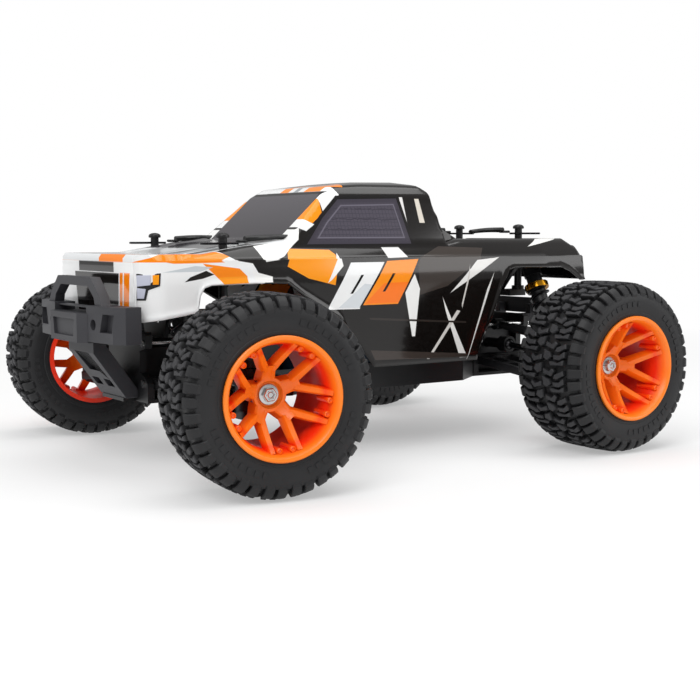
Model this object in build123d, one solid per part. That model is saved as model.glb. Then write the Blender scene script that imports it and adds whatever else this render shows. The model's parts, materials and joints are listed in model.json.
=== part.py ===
"""Remote-controlled monster truck: a shell body on a four-wheel-drive, four-wheel-sprung chassis.

Every shape is modelled about the middle of the wheelbase at the height of the wheel axles:
+Z is up, the truck faces -Y and its left side is +X. save() then moves the shape so that the
tyres stand on z = 0 and the origin is under the middle of the whole truck.
"""
from build123d import *
import os
from math import atan2, cos, degrees, hypot, pi, radians, sin

# ---------------------------------------------------------------- driving dimensions, millimetres
WHEELBASE = 286.0
TRACK = 302.0
TYRE_RADIUS = 62.5
TYRE_WIDTH = 64.0
STEER_DEGREES = -9.5          # how far the front wheels stand turned
FRONT_OVERHANG = 74.2         # front axle to the bumper's face
BODY_HALF_WIDTH = 79.0
ROOF_HEIGHT = 137.5           # roof above the axle line
SHELL_WALL = 1.2

RUN = 0.06                    # radial running clearance of pins and shafts
SEAT = 0.02                   # radial gap of a pin fixed in its seat
BALL_GAP = 0.15               # ball to socket
PLAY = 0.4                    # side play of a part between two cheeks

PIN = 1.5                     # hinge pin radius
SCREW = 2.0                   # kingpin radius
AXLE = 2.5                    # stub axle radius
SHAFT = 2.5                   # drive shaft radius
JOINT_BALL = 4.4              # drive joint ball radius
TIE_BALL = 3.0                # steering ball radius

# corner suspension, the same four times: heights from the axle line, x from the middle
INNER_PIVOT_X = 32.0
KINGPIN_INSET = 26.0          # wheel centre to kingpin
PIVOT_INSET = 13.0            # kingpin to the arms' outer pins
ARM_DROP = 8.0                # how much lower the arms end than they begin
LOWER_PIVOT_Z = -12.0
UPPER_PIVOT_Z = 15.5
ARM_HALF_WIDTH = 25.0
UPPER_ARM_REACH = 21.0         # front upper arm's barrel, short of the steering studs' path
FORK_HALF_WIDTH = 14.5
CARRIER_HALF_WIDTH = 9.5
ARM_HALF_THICK = 3.0
BARREL = 4.5                  # radius of the arms' hinge barrels
CARRIER_WALL = 7.3            # thickness of the carrier's back wall

# shocks
SHOCK_OFFSET = 17.0           # shock plane from the axle, along the truck
SHOCK_FOOT_ALONG = 54.0       # inner pin to the shock's foot, along the arm
SHOCK_FOOT_RISE = 8.0         # foot above the arm's middle
SHOCK_TOP = {"front": (46.0, 67.5), "rear": (49.0, 76.5)}
SHOCK_EYE = 4.5
SHOCK_FOOT_PLAY = 1.1         # the foot eye is wide, so that it can follow its pin
SPRING_RADIUS = 8.0
SPRING_WIRE = 0.9
SPRING_TURNS = 7

# steering
STEER_ARM = 25.0
CRANK_X = 24.0
CRANK_BEHIND_AXLE = 46.0
TIE_INNER_X = 45.0
TIE_BALL_Z = 3.5              # outer ball above the axle line
PLATE_Z = 32.0                # underside of the steering plate
PLATE_THICK = 3.0

# chassis and drive
FLOOR_BOTTOM = -17.0
FLOOR_THICK = 2.5
TUB_HALF_WIDTH = 55.0
TUB_WALL = 3.0
GEARBOX_HALF_WIDTH = 20.0
CHEEK_THICK = 5.0
CHEEK_HALF_WIDTH = 38.0
CHEEK_TOP = 31.0
MODULE = 0.8
SPUR_TEETH = 50
PINION_TEETH = 14
MOTOR_RADIUS = 17.5
MOTOR_LENGTH = 50.0
BATTERY_LENGTH = 118.0

# wheels
RIM_FLANGE = 38.0
RIM_SEAT = 35.0
RIM_INSIDE = 33.0
RIM_OUTER_EDGE = 32.5         # outer lip from the wheel's middle plane
RIM_INNER_EDGE = -29.0
FLANGE_THICK = 2.6
SPOKES = 5

# ---------------------------------------------------------------- places worked out from them
FRONT_AXLE_Y = -WHEELBASE / 2
REAR_AXLE_Y = WHEELBASE / 2
WHEEL_X = TRACK / 2
KINGPIN_X = WHEEL_X - KINGPIN_INSET
OUTER_PIVOT_X = KINGPIN_X - PIVOT_INSET
ARM_SPAN = OUTER_PIVOT_X - INNER_PIVOT_X
ARM_LENGTH = hypot(ARM_SPAN, ARM_DROP)
ARM_SLOPE = degrees(atan2(ARM_DROP, ARM_SPAN))
DIFF_Z = ARM_DROP
DRIVE_INNER_X = KINGPIN_X - ARM_SPAN
FLOOR_TOP = FLOOR_BOTTOM + FLOOR_THICK
CHEEK_INNER = ARM_HALF_WIDTH + PLAY
CHEEK_OUTER = CHEEK_INNER + CHEEK_THICK
FRONT_REACH = FRONT_OVERHANG - FRONT_AXLE_Y
REAR_REACH = REAR_AXLE_Y + TYRE_RADIUS
MID_Y = (FRONT_REACH - REAR_REACH) / 2
SPUR_RADIUS = MODULE * SPUR_TEETH / 2
PINION_RADIUS = MODULE * PINION_TEETH / 2
MOTOR_X = -(SPUR_RADIUS + PINION_RADIUS)
SPUR_Y = 62.0
GEAR_FACE = 7.0
TIE_INNER_Z = TIE_BALL_Z + ARM_DROP
CRANK_Y = FRONT_AXLE_Y + CRANK_BEHIND_AXLE


# ---------------------------------------------------------------- small building tools
def block(x0, x1, y0, y1, z0, z1):
    """A box between two corners."""
    middle = Pos((x0 + x1) / 2, (y0 + y1) / 2, (z0 + z1) / 2)
    return middle * Box(abs(x1 - x0), abs(y1 - y0), abs(z1 - z0))


def rod(start, end, radius):
    """A round bar from one point to another."""
    run = Vector(*end) - Vector(*start)
    return extrude(Plane(origin=start, z_dir=run) * Circle(radius), run.length)


def bar_y(x, z, y0, y1, radius):
    """A round bar along the truck."""
    return rod((x, y0, z), (x, y1, z), radius)


def bar_x(y, z, x0, x1, radius):
    """A round bar across the truck."""
    return rod((x0, y, z), (x1, y, z), radius)


def face_of(points):
    """A flat face from its corners."""
    return make_face(Polyline(*points, close=True))


def upward(points, z0, z1):
    """A plan outline (x, y) raised from z0 to z1."""
    return extrude(Plane.XY.offset(z0) * face_of(points), z1 - z0)


def across(points, x0, x1):
    """A side outline (y, z) carried from x0 to x1."""
    return extrude(Plane.YZ.offset(x0) * face_of(points), x1 - x0)


def along(points, y0, y1):
    """A front outline (x, z) carried from y0 to y1."""
    return extrude(Plane.XZ.offset(-y1) * face_of(points), y1 - y0)


def both_sides(points):
    """A closed outline from its right half, given from bottom to top."""
    return points + [(-x, z) for x, z in reversed(points)]


def mirrored(shape):
    """The same shape for the truck's other side."""
    return mirror(shape, about=Plane.YZ)


def turned(profile):
    """A solid of revolution about the wheel axis from (along axle, radius) points."""
    return revolve(Plane.XY * face_of(profile), Axis.X, 360)


def save(name, *shapes):
    """Write one named piece, stood on its tyres with the origin under the truck's middle."""
    solids = [solid for shape in shapes for solid in shape.solids()]
    placed = [Pos(0, MID_Y, TYRE_RADIUS) * solid for solid in solids]
    export_step(placed[0] if len(placed) == 1 else Compound(children=placed), f"parts/{name}.step")


# ---------------------------------------------------------------- corner suspension, left side
def laid_on_arm(shape, pivot_z):
    """Carry a shape drawn flat from the inner pin to the slope and place of an arm."""
    return Pos(INNER_PIVOT_X, 0, pivot_z + ARM_DROP) * Rot(0, ARM_SLOPE, 0) * shape


def fork_end(thick):
    """The forked outer end that two hinge barrels make."""
    barrel = bar_y(ARM_LENGTH, 0, -FORK_HALF_WIDTH, FORK_HALF_WIDTH, BARREL - 0.3)
    root = block(ARM_LENGTH - 16, ARM_LENGTH, -FORK_HALF_WIDTH, FORK_HALF_WIDTH, -thick, thick)
    return barrel + root


def fork_slot():
    """What the carrier needs between the two barrels."""
    half = CARRIER_HALF_WIDTH + PLAY
    return block(ARM_LENGTH - 9.5, ARM_LENGTH + 8, -half, half, -9, 9)


def lower_arm(shock_side):
    """A broad lower arm with a window over the drive shaft and a clevis for the shock's foot."""
    wide_end = ARM_LENGTH - 20
    outline = [(0, -ARM_HALF_WIDTH), (wide_end, -ARM_HALF_WIDTH), (wide_end + 10, -FORK_HALF_WIDTH),
               (wide_end + 10, FORK_HALF_WIDTH), (wide_end, ARM_HALF_WIDTH), (0, ARM_HALF_WIDTH)]
    arm = upward(outline, -ARM_HALF_THICK, ARM_HALF_THICK)
    arm += bar_y(0, 0, -ARM_HALF_WIDTH, ARM_HALF_WIDTH, BARREL)
    arm += fork_end(ARM_HALF_THICK)
    arm -= fork_slot()
    arm -= block(7, SHOCK_FOOT_ALONG + 7, -8, 8, -9, 9)
    for side in (-1, 1):
        inner, outer = 12.5, ARM_HALF_WIDTH - 4
        if side != shock_side:
            arm -= block(12, 30, side * inner, side * outer, -9, 9)
            arm -= block(35, 53, side * inner, side * outer, -9, 9)
        else:
            arm -= block(12, 40, side * inner, side * outer, -9, 9)
    middle = shock_side * SHOCK_OFFSET
    for side in (-1, 1):
        near, far = middle + side * (SHOCK_EYE + 0.1), middle + side * (SHOCK_EYE + 3.1)
        low, high = min(near, far), max(near, far)
        arm += block(SHOCK_FOOT_ALONG - SHOCK_EYE, SHOCK_FOOT_ALONG + SHOCK_EYE, low, high, 0,
                     SHOCK_FOOT_RISE)
        arm += bar_y(SHOCK_FOOT_ALONG, SHOCK_FOOT_RISE, low, high, SHOCK_EYE)
    half_pin = SHOCK_EYE + 3.1
    arm += bar_y(SHOCK_FOOT_ALONG, SHOCK_FOOT_RISE, middle - half_pin, middle + half_pin, PIN)
    for along_arm in (0, ARM_LENGTH):
        arm -= bar_y(along_arm, 0, -40, 40, PIN + RUN)
    return laid_on_arm(arm, LOWER_PIVOT_Z)


def upper_arm(shock_side):
    """A slimmer upper arm that passes beside the shock."""
    thick = 2.5
    near, far = shock_side * 6.0, -shock_side * UPPER_ARM_REACH
    reach = ARM_LENGTH - 12
    outline = [(0, near), (reach, near), (reach, -near), (reach - 10, -near * 1.6), (0, far)]
    arm = upward(outline, -thick, thick)
    arm += bar_y(0, 0, min(near, far), max(near, far), BARREL - 0.5)
    arm += fork_end(thick)
    arm -= fork_slot()
    window = [(9, near * 0.2), (reach - 20, near * 0.2), (reach - 20, -near), (9, far * 0.72)]
    arm -= upward(window, -9, 9)
    for along_arm in (0, ARM_LENGTH):
        arm -= bar_y(along_arm, 0, -40, 40, PIN + RUN)
    return laid_on_arm(arm, UPPER_PIVOT_Z)


def upper_link():
    """A rear camber link: a bar with an eye at each end."""
    half = 4.0
    link = rod((0, 0, 0), (ARM_LENGTH, 0, 0), 3.0)
    link += rod((18, 0, 0), (ARM_LENGTH - 18, 0, 0), 3.8)
    for along_arm in (0, ARM_LENGTH):
        link += bar_y(along_arm, 0, -half, half, BARREL)
    for along_arm in (0, ARM_LENGTH):
        link -= bar_y(along_arm, 0, -9, 9, PIN + RUN)
    return laid_on_arm(link, UPPER_PIVOT_Z)


def carrier_wall(half_width):
    """The wall that both outer pins pass through, open for the drive shaft."""
    x0 = OUTER_PIVOT_X - 5
    wall = block(x0, x0 + CARRIER_WALL, -half_width, half_width, LOWER_PIVOT_Z, UPPER_PIVOT_Z)
    for z in (LOWER_PIVOT_Z, UPPER_PIVOT_Z):
        wall += bar_y(OUTER_PIVOT_X, z, -half_width, half_width, 5.0)
    return wall


def outer_pins():
    """The two hinge pins held in the carrier, one for each arm."""
    reach = FORK_HALF_WIDTH + 1.4
    return [bar_y(OUTER_PIVOT_X, z, -reach, reach, PIN) for z in (LOWER_PIVOT_Z, UPPER_PIVOT_Z)]


def with_pin_holes(shape):
    """Bore the carrier for its two pins."""
    for z in (LOWER_PIVOT_Z, UPPER_PIVOT_Z):
        shape -= bar_y(OUTER_PIVOT_X, z, -30, 30, PIN + SEAT)
    return shape


KNUCKLE_RADIUS = 10.0
KNUCKLE_TOP = 13.4
EAR_GAP = 0.5
EAR_THICK = 5.2
CUP_RADIUS = 7.3
BEARING_RADIUS = 5.0
HOUSING_RADIUS = 8.5
HOUSING_END = KINGPIN_X + 21.0


def caster_block():
    """The front carrier: a C that holds the knuckle between two ears."""
    body = carrier_wall(CARRIER_HALF_WIDTH)
    x0 = OUTER_PIVOT_X - 5
    low = KNUCKLE_TOP + EAR_GAP
    for sign in (-1, 1):
        z0, z1 = sorted((sign * low, sign * (low + EAR_THICK)))
        body += block(x0, KINGPIN_X, -7.5, 7.5, z0, z1)
        body += rod((KINGPIN_X, 0, z0), (KINGPIN_X, 0, z1), 7.5)
    body -= rod((KINGPIN_X, 0, -40), (KINGPIN_X, 0, 40), SCREW + RUN)
    body -= rod((KINGPIN_X, 0, -low), (KINGPIN_X, 0, low), KNUCKLE_RADIUS + EAR_GAP)
    body -= bar_x(0, 0.7, x0 - 2, KINGPIN_X, 7.8)
    return with_pin_holes(body)


def bearing_housing():
    """The tube outboard of the kingpin that holds the wheel bearings."""
    return bar_x(0, 0, KINGPIN_X + 6, HOUSING_END, HOUSING_RADIUS)


def bearing_bores(shape, inner_end):
    """Hollow a carrier for the drive joint and the two wheel bearings."""
    shape -= bar_x(0, 0, inner_end, KINGPIN_X + 8, CUP_RADIUS + 0.7)
    shape -= bar_x(0, 0, KINGPIN_X, HOUSING_END + 1, BEARING_RADIUS + RUN)
    return shape


def knuckle():
    """The steering knuckle, with its trunnions, bearing housing, steering arm and ball."""
    body = rod((KINGPIN_X, 0, -KNUCKLE_TOP), (KINGPIN_X, 0, KNUCKLE_TOP), KNUCKLE_RADIUS)
    body += bearing_housing()
    arm_low, arm_high = TIE_BALL_Z - 9, TIE_BALL_Z - 5
    body += block(KINGPIN_X - 4, KINGPIN_X + 4, 7, STEER_ARM, arm_low, arm_high)
    body += rod((KINGPIN_X, STEER_ARM, arm_low), (KINGPIN_X, STEER_ARM, arm_high), 4.0)
    body = bearing_bores(body, KINGPIN_X - 14)
    tip = KNUCKLE_TOP + EAR_GAP + EAR_THICK
    for sign in (-1, 1):
        body += rod((KINGPIN_X, 0, sign * (KNUCKLE_TOP - 3)), (KINGPIN_X, 0, sign * tip), SCREW)
    body += rod((KINGPIN_X, STEER_ARM, arm_high), (KINGPIN_X, STEER_ARM, TIE_BALL_Z), 1.25)
    body += Pos(KINGPIN_X, STEER_ARM, TIE_BALL_Z) * Sphere(TIE_BALL)
    return body


def upright():
    """The rear carrier, which doesn't steer."""
    body = carrier_wall(CARRIER_HALF_WIDTH)
    body += bar_x(0, 0, OUTER_PIVOT_X, KINGPIN_X + 8, 11.0)
    body += bearing_housing()
    body = bearing_bores(body, OUTER_PIVOT_X - 8)
    half = 4.0 + PLAY
    body -= block(OUTER_PIVOT_X - 7, OUTER_PIVOT_X + 6, -half, half, UPPER_PIVOT_Z - 5.4,
                  UPPER_PIVOT_Z + 8)
    return with_pin_holes(body)


HEX_START = HOUSING_END + 0.6
HEX_LENGTH = 5.0
HUB_THICK = 3.9
NUT_LENGTH = 4.5


def stub_axle():
    """The stub axle with its drive cup, two bearings, wheel hex and nut."""
    hub_start = HEX_START + HEX_LENGTH
    nut_start = hub_start + HUB_THICK
    axle = bar_x(0, 0, KINGPIN_X - 2, KINGPIN_X + 7, CUP_RADIUS)
    axle += bar_x(0, 0, KINGPIN_X + 6, nut_start + NUT_LENGTH, AXLE)
    axle -= Pos(KINGPIN_X, 0, 0) * Sphere(JOINT_BALL + BALL_GAP)
    axle -= bar_x(0, 0, KINGPIN_X - 3, KINGPIN_X, JOINT_BALL + BALL_GAP)
    hexagon = Plane.YZ * RegularPolygon(6.9, 6)
    wheel_hex = Pos(HEX_START, 0, 0) * extrude(hexagon, HEX_LENGTH)
    wheel_hex -= bar_x(0, 0, 0, 300, AXLE + SEAT)
    nut = Pos(nut_start, 0, 0) * extrude(Plane.YZ * RegularPolygon(4.6, 6), NUT_LENGTH - 0.6)
    nut -= bar_x(0, 0, 0, 300, AXLE + SEAT)
    pieces = [axle, wheel_hex, nut]
    for start in (KINGPIN_X + 8.6, HOUSING_END - 4.5):
        race = bar_x(0, 0, start, start + 4, BEARING_RADIUS)
        pieces.append(race - bar_x(0, 0, 0, 300, AXLE + SEAT))
    return pieces


def half_shaft():
    """The sloping drive shaft with a ball in the gearbox cup and one in the axle cup."""
    inner, outer = (DRIVE_INNER_X, 0, DIFF_Z), (KINGPIN_X, 0, 0)
    shaft = rod(inner, outer, SHAFT)
    for point in (inner, outer):
        shaft += Pos(*point) * Sphere(JOINT_BALL)
    return shaft


# ---------------------------------------------------------------- wheels
def tyre():
    """A hollow low-pressure tyre with two grooves round its tread."""
    edge = TYRE_WIDTH / 2
    bead = RIM_SEAT + SEAT
    out, inn = RIM_OUTER_EDGE - FLANGE_THICK - 0.1, RIM_INNER_EDGE + FLANGE_THICK + 0.1
    tread = TYRE_RADIUS
    outside = [(inn, bead), (inn, bead + 4), (1 - edge, bead + 11), (-edge, bead + 17),
               (1 - edge, tread - 5.5), (5 - edge, tread - 1.2), (10 - edge, tread),
               (-14, tread), (-12.5, tread - 5), (-9.5, tread - 5), (-8, tread),
               (8, tread), (9.5, tread - 5), (12.5, tread - 5), (14, tread),
               (edge - 10, tread), (edge - 5, tread - 1.2), (edge - 1, tread - 5.5),
               (edge, bead + 17), (edge - 1, bead + 11), (out, bead + 4), (out, bead)]
    inside = [(out - 4, bead), (out - 4, bead + 5), (edge - 3.5, bead + 12), (edge - 5, tread - 7.5),
              (5 - edge, tread - 7.5), (3.5 - edge, bead + 12), (inn + 4, bead + 5), (inn + 4, bead)]
    return Pos(WHEEL_X, 0, 0) * turned(outside + inside)


def y_spoke():
    """The flat outline of one spoke: a stem that parts into two arms."""
    stem = face_of([(-4.2, 6), (4.2, 6), (3.4, 17), (-3.4, 17)])
    shape = stem
    for side in (-1, 1):
        arm = [(0, 13), (side * 3.6, 12), (side * 12.5, RIM_INSIDE), (side * 6.0, RIM_INSIDE + 1)]
        shape += face_of(arm)
    return shape


def rim():
    """The wheel: a barrel with two flanges, and five forked spokes that slope in to the hub."""
    flange_in = RIM_INNER_EDGE + FLANGE_THICK
    flange_out = RIM_OUTER_EDGE - FLANGE_THICK
    barrel = turned([(RIM_INNER_EDGE, RIM_INSIDE), (RIM_INNER_EDGE, RIM_FLANGE),
                     (flange_in, RIM_FLANGE), (flange_in, RIM_SEAT), (flange_out, RIM_SEAT),
                     (flange_out, RIM_FLANGE), (RIM_OUTER_EDGE, RIM_FLANGE - 0.8),
                     (RIM_OUTER_EDGE, RIM_INSIDE + 1.4), (RIM_OUTER_EDGE - 4, RIM_INSIDE)])
    hub_in = HEX_START + HEX_LENGTH - WHEEL_X
    dish = turned([(hub_in, 7), (hub_in + 5, 7), (hub_in + 22, RIM_INSIDE + 0.6),
                   (hub_in + 15, RIM_INSIDE + 0.6)])
    spokes = Plane.YZ * y_spoke()
    pattern = extrude(spokes, 40)
    for turn in range(1, SPOKES):
        pattern += Rot(turn * 360 / SPOKES, 0, 0) * extrude(spokes, 40)
    hub = bar_x(0, 0, hub_in, hub_in + HUB_THICK, 9.0)
    wheel = barrel + (pattern & dish) + hub
    wheel -= bar_x(0, 0, -40, 40, AXLE + SEAT)
    return Pos(WHEEL_X, 0, 0) * wheel


# ---------------------------------------------------------------- shocks
def shock_line(end):
    """Top and foot of a shock in its own plane, and its length."""
    slope = radians(ARM_SLOPE)
    foot_x = INNER_PIVOT_X + SHOCK_FOOT_ALONG * cos(slope) + SHOCK_FOOT_RISE * sin(slope)
    foot_z = LOWER_PIVOT_Z + ARM_DROP - SHOCK_FOOT_ALONG * sin(slope) + SHOCK_FOOT_RISE * cos(slope)
    top_x, top_z = SHOCK_TOP[end]
    return (top_x, top_z), (foot_x, foot_z), hypot(foot_x - top_x, foot_z - top_z)


def hung_on_shock(shape, end, shock_side):
    """Carry a shape drawn downwards from a shock's top to the shock's slope and place."""
    (top_x, top_z), (foot_x, foot_z), _ = shock_line(end)
    lean = degrees(atan2(foot_x - top_x, top_z - foot_z))
    return Pos(top_x, shock_side * SHOCK_OFFSET, top_z) * Rot(0, -lean, 0) * shape


SHOCK_BODY_END = 54.0
SHOCK_COLLAR = 22.0
SHOCK_CUP_RISE = 6.5


def shock_body():
    """The oil cylinder with its top eye, cap and threaded collar, drawn hanging from the eye."""
    body = bar_y(0, 0, -4, 4, SHOCK_EYE)
    body += rod((0, 0, -2), (0, 0, -15), 7.2)
    body += rod((0, 0, -14), (0, 0, -SHOCK_BODY_END), 6.2)
    body += rod((0, 0, -SHOCK_COLLAR), (0, 0, -SHOCK_COLLAR - 5), 9.3)
    body += block(-3, 3, -4, 4, -4, 0)
    body -= rod((0, 0, -17), (0, 0, 3 - SHOCK_BODY_END), 5.0)
    body -= rod((0, 0, -20), (0, 0, -SHOCK_BODY_END - 1), PIN + RUN)
    body -= bar_y(0, 0, -9, 9, PIN + RUN)
    return body


def shock_shaft(length):
    """The shaft with its piston, spring cup and foot eye."""
    shaft = rod((0, 0, -36), (0, 0, 2.5 - length), PIN)
    shaft += rod((0, 0, -36), (0, 0, -39), 5.0 - RUN)
    shaft += rod((0, 0, SHOCK_CUP_RISE - length), (0, 0, SHOCK_CUP_RISE + 2.5 - length), 9.3)
    shaft += rod((0, 0, 3 - length), (0, 0, SHOCK_CUP_RISE + 1 - length), 3.4)
    shaft += Pos(0, 0, -length) * bar_y(0, 0, -4, 4, SHOCK_EYE)
    shaft -= Pos(0, 0, -length) * bar_y(0, 0, -9, 9, PIN + SHOCK_FOOT_PLAY)
    return shaft


def spring(length):
    """A wire spring between the collar and the spring cup."""
    top = -SHOCK_COLLAR - 5 - SPRING_WIRE - 0.1
    bottom = SHOCK_CUP_RISE + 2.5 - length + SPRING_WIRE + 0.1
    height = top - bottom
    coil = Helix(pitch=height / SPRING_TURNS, height=height, radius=SPRING_RADIUS)
    section = Plane(origin=coil @ 0, z_dir=coil % 0) * Circle(SPRING_WIRE)
    return Pos(0, 0, bottom) * sweep(section, path=coil, is_frenet=True)


# ---------------------------------------------------------------- steering
def steer_shift():
    """How far the steering plate stands moved by the turned wheels."""
    angle = radians(STEER_DEGREES)
    return -STEER_ARM * sin(angle), STEER_ARM * cos(angle)


def ball_ring():
    """A rod end's ring about the origin, bored for a ball."""
    ring = rod((0, 0, -2.5), (0, 0, 2.5), 5.0)
    return ring, rod((0, 0, -4), (0, 0, 4), TIE_BALL + BALL_GAP)


def tie_rod(side):
    """A tie rod from the steering plate's ball to the knuckle's ball."""
    shift_x, shift_y = steer_shift()
    inner = Vector(side * TIE_INNER_X + shift_x, FRONT_AXLE_Y + shift_y, TIE_INNER_Z)
    outer = Vector(side * KINGPIN_X + shift_x, FRONT_AXLE_Y + shift_y, TIE_BALL_Z)
    link = rod(tuple(inner), tuple(outer), 2.2)
    rings = [ball_ring()[0].moved(Location(tuple(point))) for point in (inner, outer)]
    holes = [ball_ring()[1].moved(Location(tuple(point))) for point in (inner, outer)]
    for ring in rings:
        link += ring
    for hole in holes:
        link -= hole
    return link


def crank(side):
    """One of the two equal cranks that carry the steering plate."""
    shift_x, shift_y = steer_shift()
    x, y = side * CRANK_X, CRANK_Y
    top = PLATE_Z - PLAY
    low = top - 4
    hub = rod((x, y, low), (x, y, top), 6.0)
    arm = rod((x, y, low), (x, y, top), 4.0) + rod((x + shift_x, y + shift_y, low),
                                                 (x + shift_x, y + shift_y, top), 4.0)
    half = 3.2
    web = Pos(x, y, low) * Rot(0, 0, STEER_DEGREES) * block(-half, half, 0, STEER_ARM, 0, top - low)
    body = hub + arm + web
    stud_top = PLATE_Z + PLATE_THICK + 1.5
    body += rod((x + shift_x, y + shift_y, low), (x + shift_x, y + shift_y, stud_top), SCREW)
    body -= rod((x, y, low - 5), (x, y, top + 5), AXLE + RUN)
    return body


def steering_plate():
    """The plate that both cranks carry, with a ball for each tie rod."""
    shift_x, shift_y = steer_shift()
    back = CRANK_Y + shift_y
    front = FRONT_AXLE_Y + shift_y
    outline = [(-CRANK_X - 5, back + 5), (CRANK_X + 5, back + 5), (TIE_INNER_X + 4, front + 4),
               (TIE_INNER_X + 4, front - 4), (TIE_INNER_X - 6, front - 4), (CRANK_X - 6, back - 8),
               (6 - CRANK_X, back - 8), (6 - TIE_INNER_X, front - 4), (-TIE_INNER_X - 4, front - 4),
               (-TIE_INNER_X - 4, front + 4)]
    placed = [(x + shift_x, y) for x, y in outline]
    plate = upward(placed, PLATE_Z, PLATE_Z + PLATE_THICK)
    for side in (-1, 1):
        x = side * CRANK_X + shift_x
        plate -= rod((x, back, PLATE_Z - 1), (x, back, PLATE_Z + 9), SCREW + RUN)
        ball = (side * TIE_INNER_X + shift_x, front, TIE_INNER_Z)
        plate += rod(ball, (ball[0], ball[1], PLATE_Z + 1), 1.3)
        plate += Pos(*ball) * Sphere(TIE_BALL)
    return plate


def steering_servo():
    """The servo, standing on the floor with its output shaft up through the left crank."""
    x, y = CRANK_X, CRANK_Y
    top = PLATE_Z - PLAY - 4 - PLAY
    case = block(x - 10, x + 10, y - 10, y + 30, FLOOR_TOP, top - 2)
    case += block(x - 10, x + 10, y - 14, y + 34, top - 12, top - 9.5)
    case += rod((x, y, top - 3), (x, y, top), 5.5)
    return case + rod((x, y, top - 3), (x, y, PLATE_Z - PLAY), AXLE)


def idler_post():
    """The post on the floor that the right crank turns on."""
    x, y = -CRANK_X, CRANK_Y
    top = PLATE_Z - PLAY - 4 - PLAY
    post = rod((x, y, FLOOR_TOP), (x, y, top), 5.5)
    return post + rod((x, y, top - 2), (x, y, PLATE_Z - PLAY), AXLE)


# ---------------------------------------------------------------- chassis, drive and electrics
def chassis_tub():
    """The floor pan with its side walls, motor bulkhead and idler post."""
    front, rear = FRONT_AXLE_Y - CHEEK_OUTER, REAR_AXLE_Y + CHEEK_OUTER
    neck_front, neck_rear = FRONT_AXLE_Y + CHEEK_OUTER + 1, REAR_AXLE_Y - CHEEK_OUTER - 1
    half, neck = TUB_HALF_WIDTH, CHEEK_HALF_WIDTH
    right = [(neck, front), (neck, neck_front), (half, neck_front + 24), (half, neck_rear - 24),
             (neck, neck_rear), (neck, rear)]
    outline = right + [(-x, y) for x, y in reversed(right)]
    tub = upward(outline, FLOOR_BOTTOM, FLOOR_TOP)
    tub += block(-18, 18, front - 9, front, FLOOR_BOTTOM, FLOOR_TOP)
    wall_right = [(half, neck_front + 24), (half, neck_rear - 24), (neck, neck_rear),
                  (neck - TUB_WALL, neck_rear), (half - TUB_WALL, neck_rear - 25),
                  (half - TUB_WALL, neck_front + 25), (neck - TUB_WALL, neck_front),
                  (neck, neck_front)]
    wall_left = [(-x, y) for x, y in wall_right]
    for outline in (wall_right, wall_left):
        tub += upward(outline, FLOOR_BOTTOM, FLOOR_TOP + 16)
    bulkhead = block(MOTOR_X - 19, 9, SPUR_Y - 10, SPUR_Y - 6, FLOOR_BOTTOM, DIFF_Z + 20)
    bulkhead -= bar_y(0, DIFF_Z, 0, SPUR_Y, SHAFT + RUN)
    bulkhead -= bar_y(MOTOR_X, DIFF_Z, 0, SPUR_Y, 5.4)
    return tub + bulkhead + idler_post()


def gearbox(axle_y, input_side):
    """A gearbox between two cheeks that carry the hinge pins, with a drive cup on each side."""
    half = GEARBOX_HALF_WIDTH
    case = block(-half, half, -CHEEK_INNER - 1, CHEEK_INNER + 1, FLOOR_TOP, CHEEK_TOP - 6)
    case = chamfer(case.edges().filter_by(Axis.Y).group_by(Axis.Z)[-1], 6)
    wide, top = CHEEK_HALF_WIDTH, CHEEK_TOP
    notch = INNER_PIVOT_X - 6
    low_pin, high_pin = LOWER_PIVOT_Z + ARM_DROP, UPPER_PIVOT_Z + ARM_DROP
    cheek_half = [(wide, FLOOR_TOP), (wide, low_pin), (wide - 4, low_pin + 4), (notch, low_pin + 7),
                  (notch, high_pin - 5.5), (INNER_PIVOT_X + 2.5, high_pin - 3.5),
                  (INNER_PIVOT_X + 3.5, high_pin), (INNER_PIVOT_X + 3.5, top - 2),
                  (INNER_PIVOT_X + 1.5, top)]
    cheek = both_sides(cheek_half)
    for y0 in (-CHEEK_OUTER, CHEEK_INNER):
        case += along(cheek, y0, y0 + CHEEK_THICK)
    case += bar_y(0, DIFF_Z, input_side * CHEEK_OUTER, input_side * (CHEEK_OUTER + 5), 7.0)
    case -= bar_y(0, DIFF_Z, input_side * (CHEEK_OUTER - 4), input_side * (CHEEK_OUTER + 9),
                  SHAFT + RUN)
    for side in (-1, 1):
        mouth = side * (DRIVE_INNER_X + 2)
        case += bar_x(0, DIFF_Z, side * (half - 1), side * (DRIVE_INNER_X - 6), 4.0)
        case += bar_x(0, DIFF_Z, side * (DRIVE_INNER_X - 7), mouth, 6.4)
        case -= Pos(side * DRIVE_INNER_X, 0, DIFF_Z) * Sphere(JOINT_BALL + BALL_GAP)
        case -= bar_x(0, DIFF_Z, side * DRIVE_INNER_X, mouth + side, JOINT_BALL + BALL_GAP)
        for z in (LOWER_PIVOT_Z, UPPER_PIVOT_Z):
            case -= bar_y(side * INNER_PIVOT_X, z + ARM_DROP, -60, 60, PIN + SEAT)
    return Pos(0, axle_y, 0) * case


def hinge_pins():
    """The eight inner hinge pins, each with a small head."""
    pins = []
    for axle_y in (FRONT_AXLE_Y, REAR_AXLE_Y):
        for side in (-1, 1):
            for z in (LOWER_PIVOT_Z, UPPER_PIVOT_Z):
                x, height = side * INNER_PIVOT_X, z + ARM_DROP
                end = CHEEK_OUTER + 1.2
                pin = bar_y(x, height, axle_y - end, axle_y + end, PIN)
                for face in (-1, 1):
                    inner, outer = axle_y + face * CHEEK_OUTER, axle_y + face * end
                    pin += bar_y(x, height, min(inner, outer), max(inner, outer), 2.6)
                pins.append(pin)
    return pins


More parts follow.
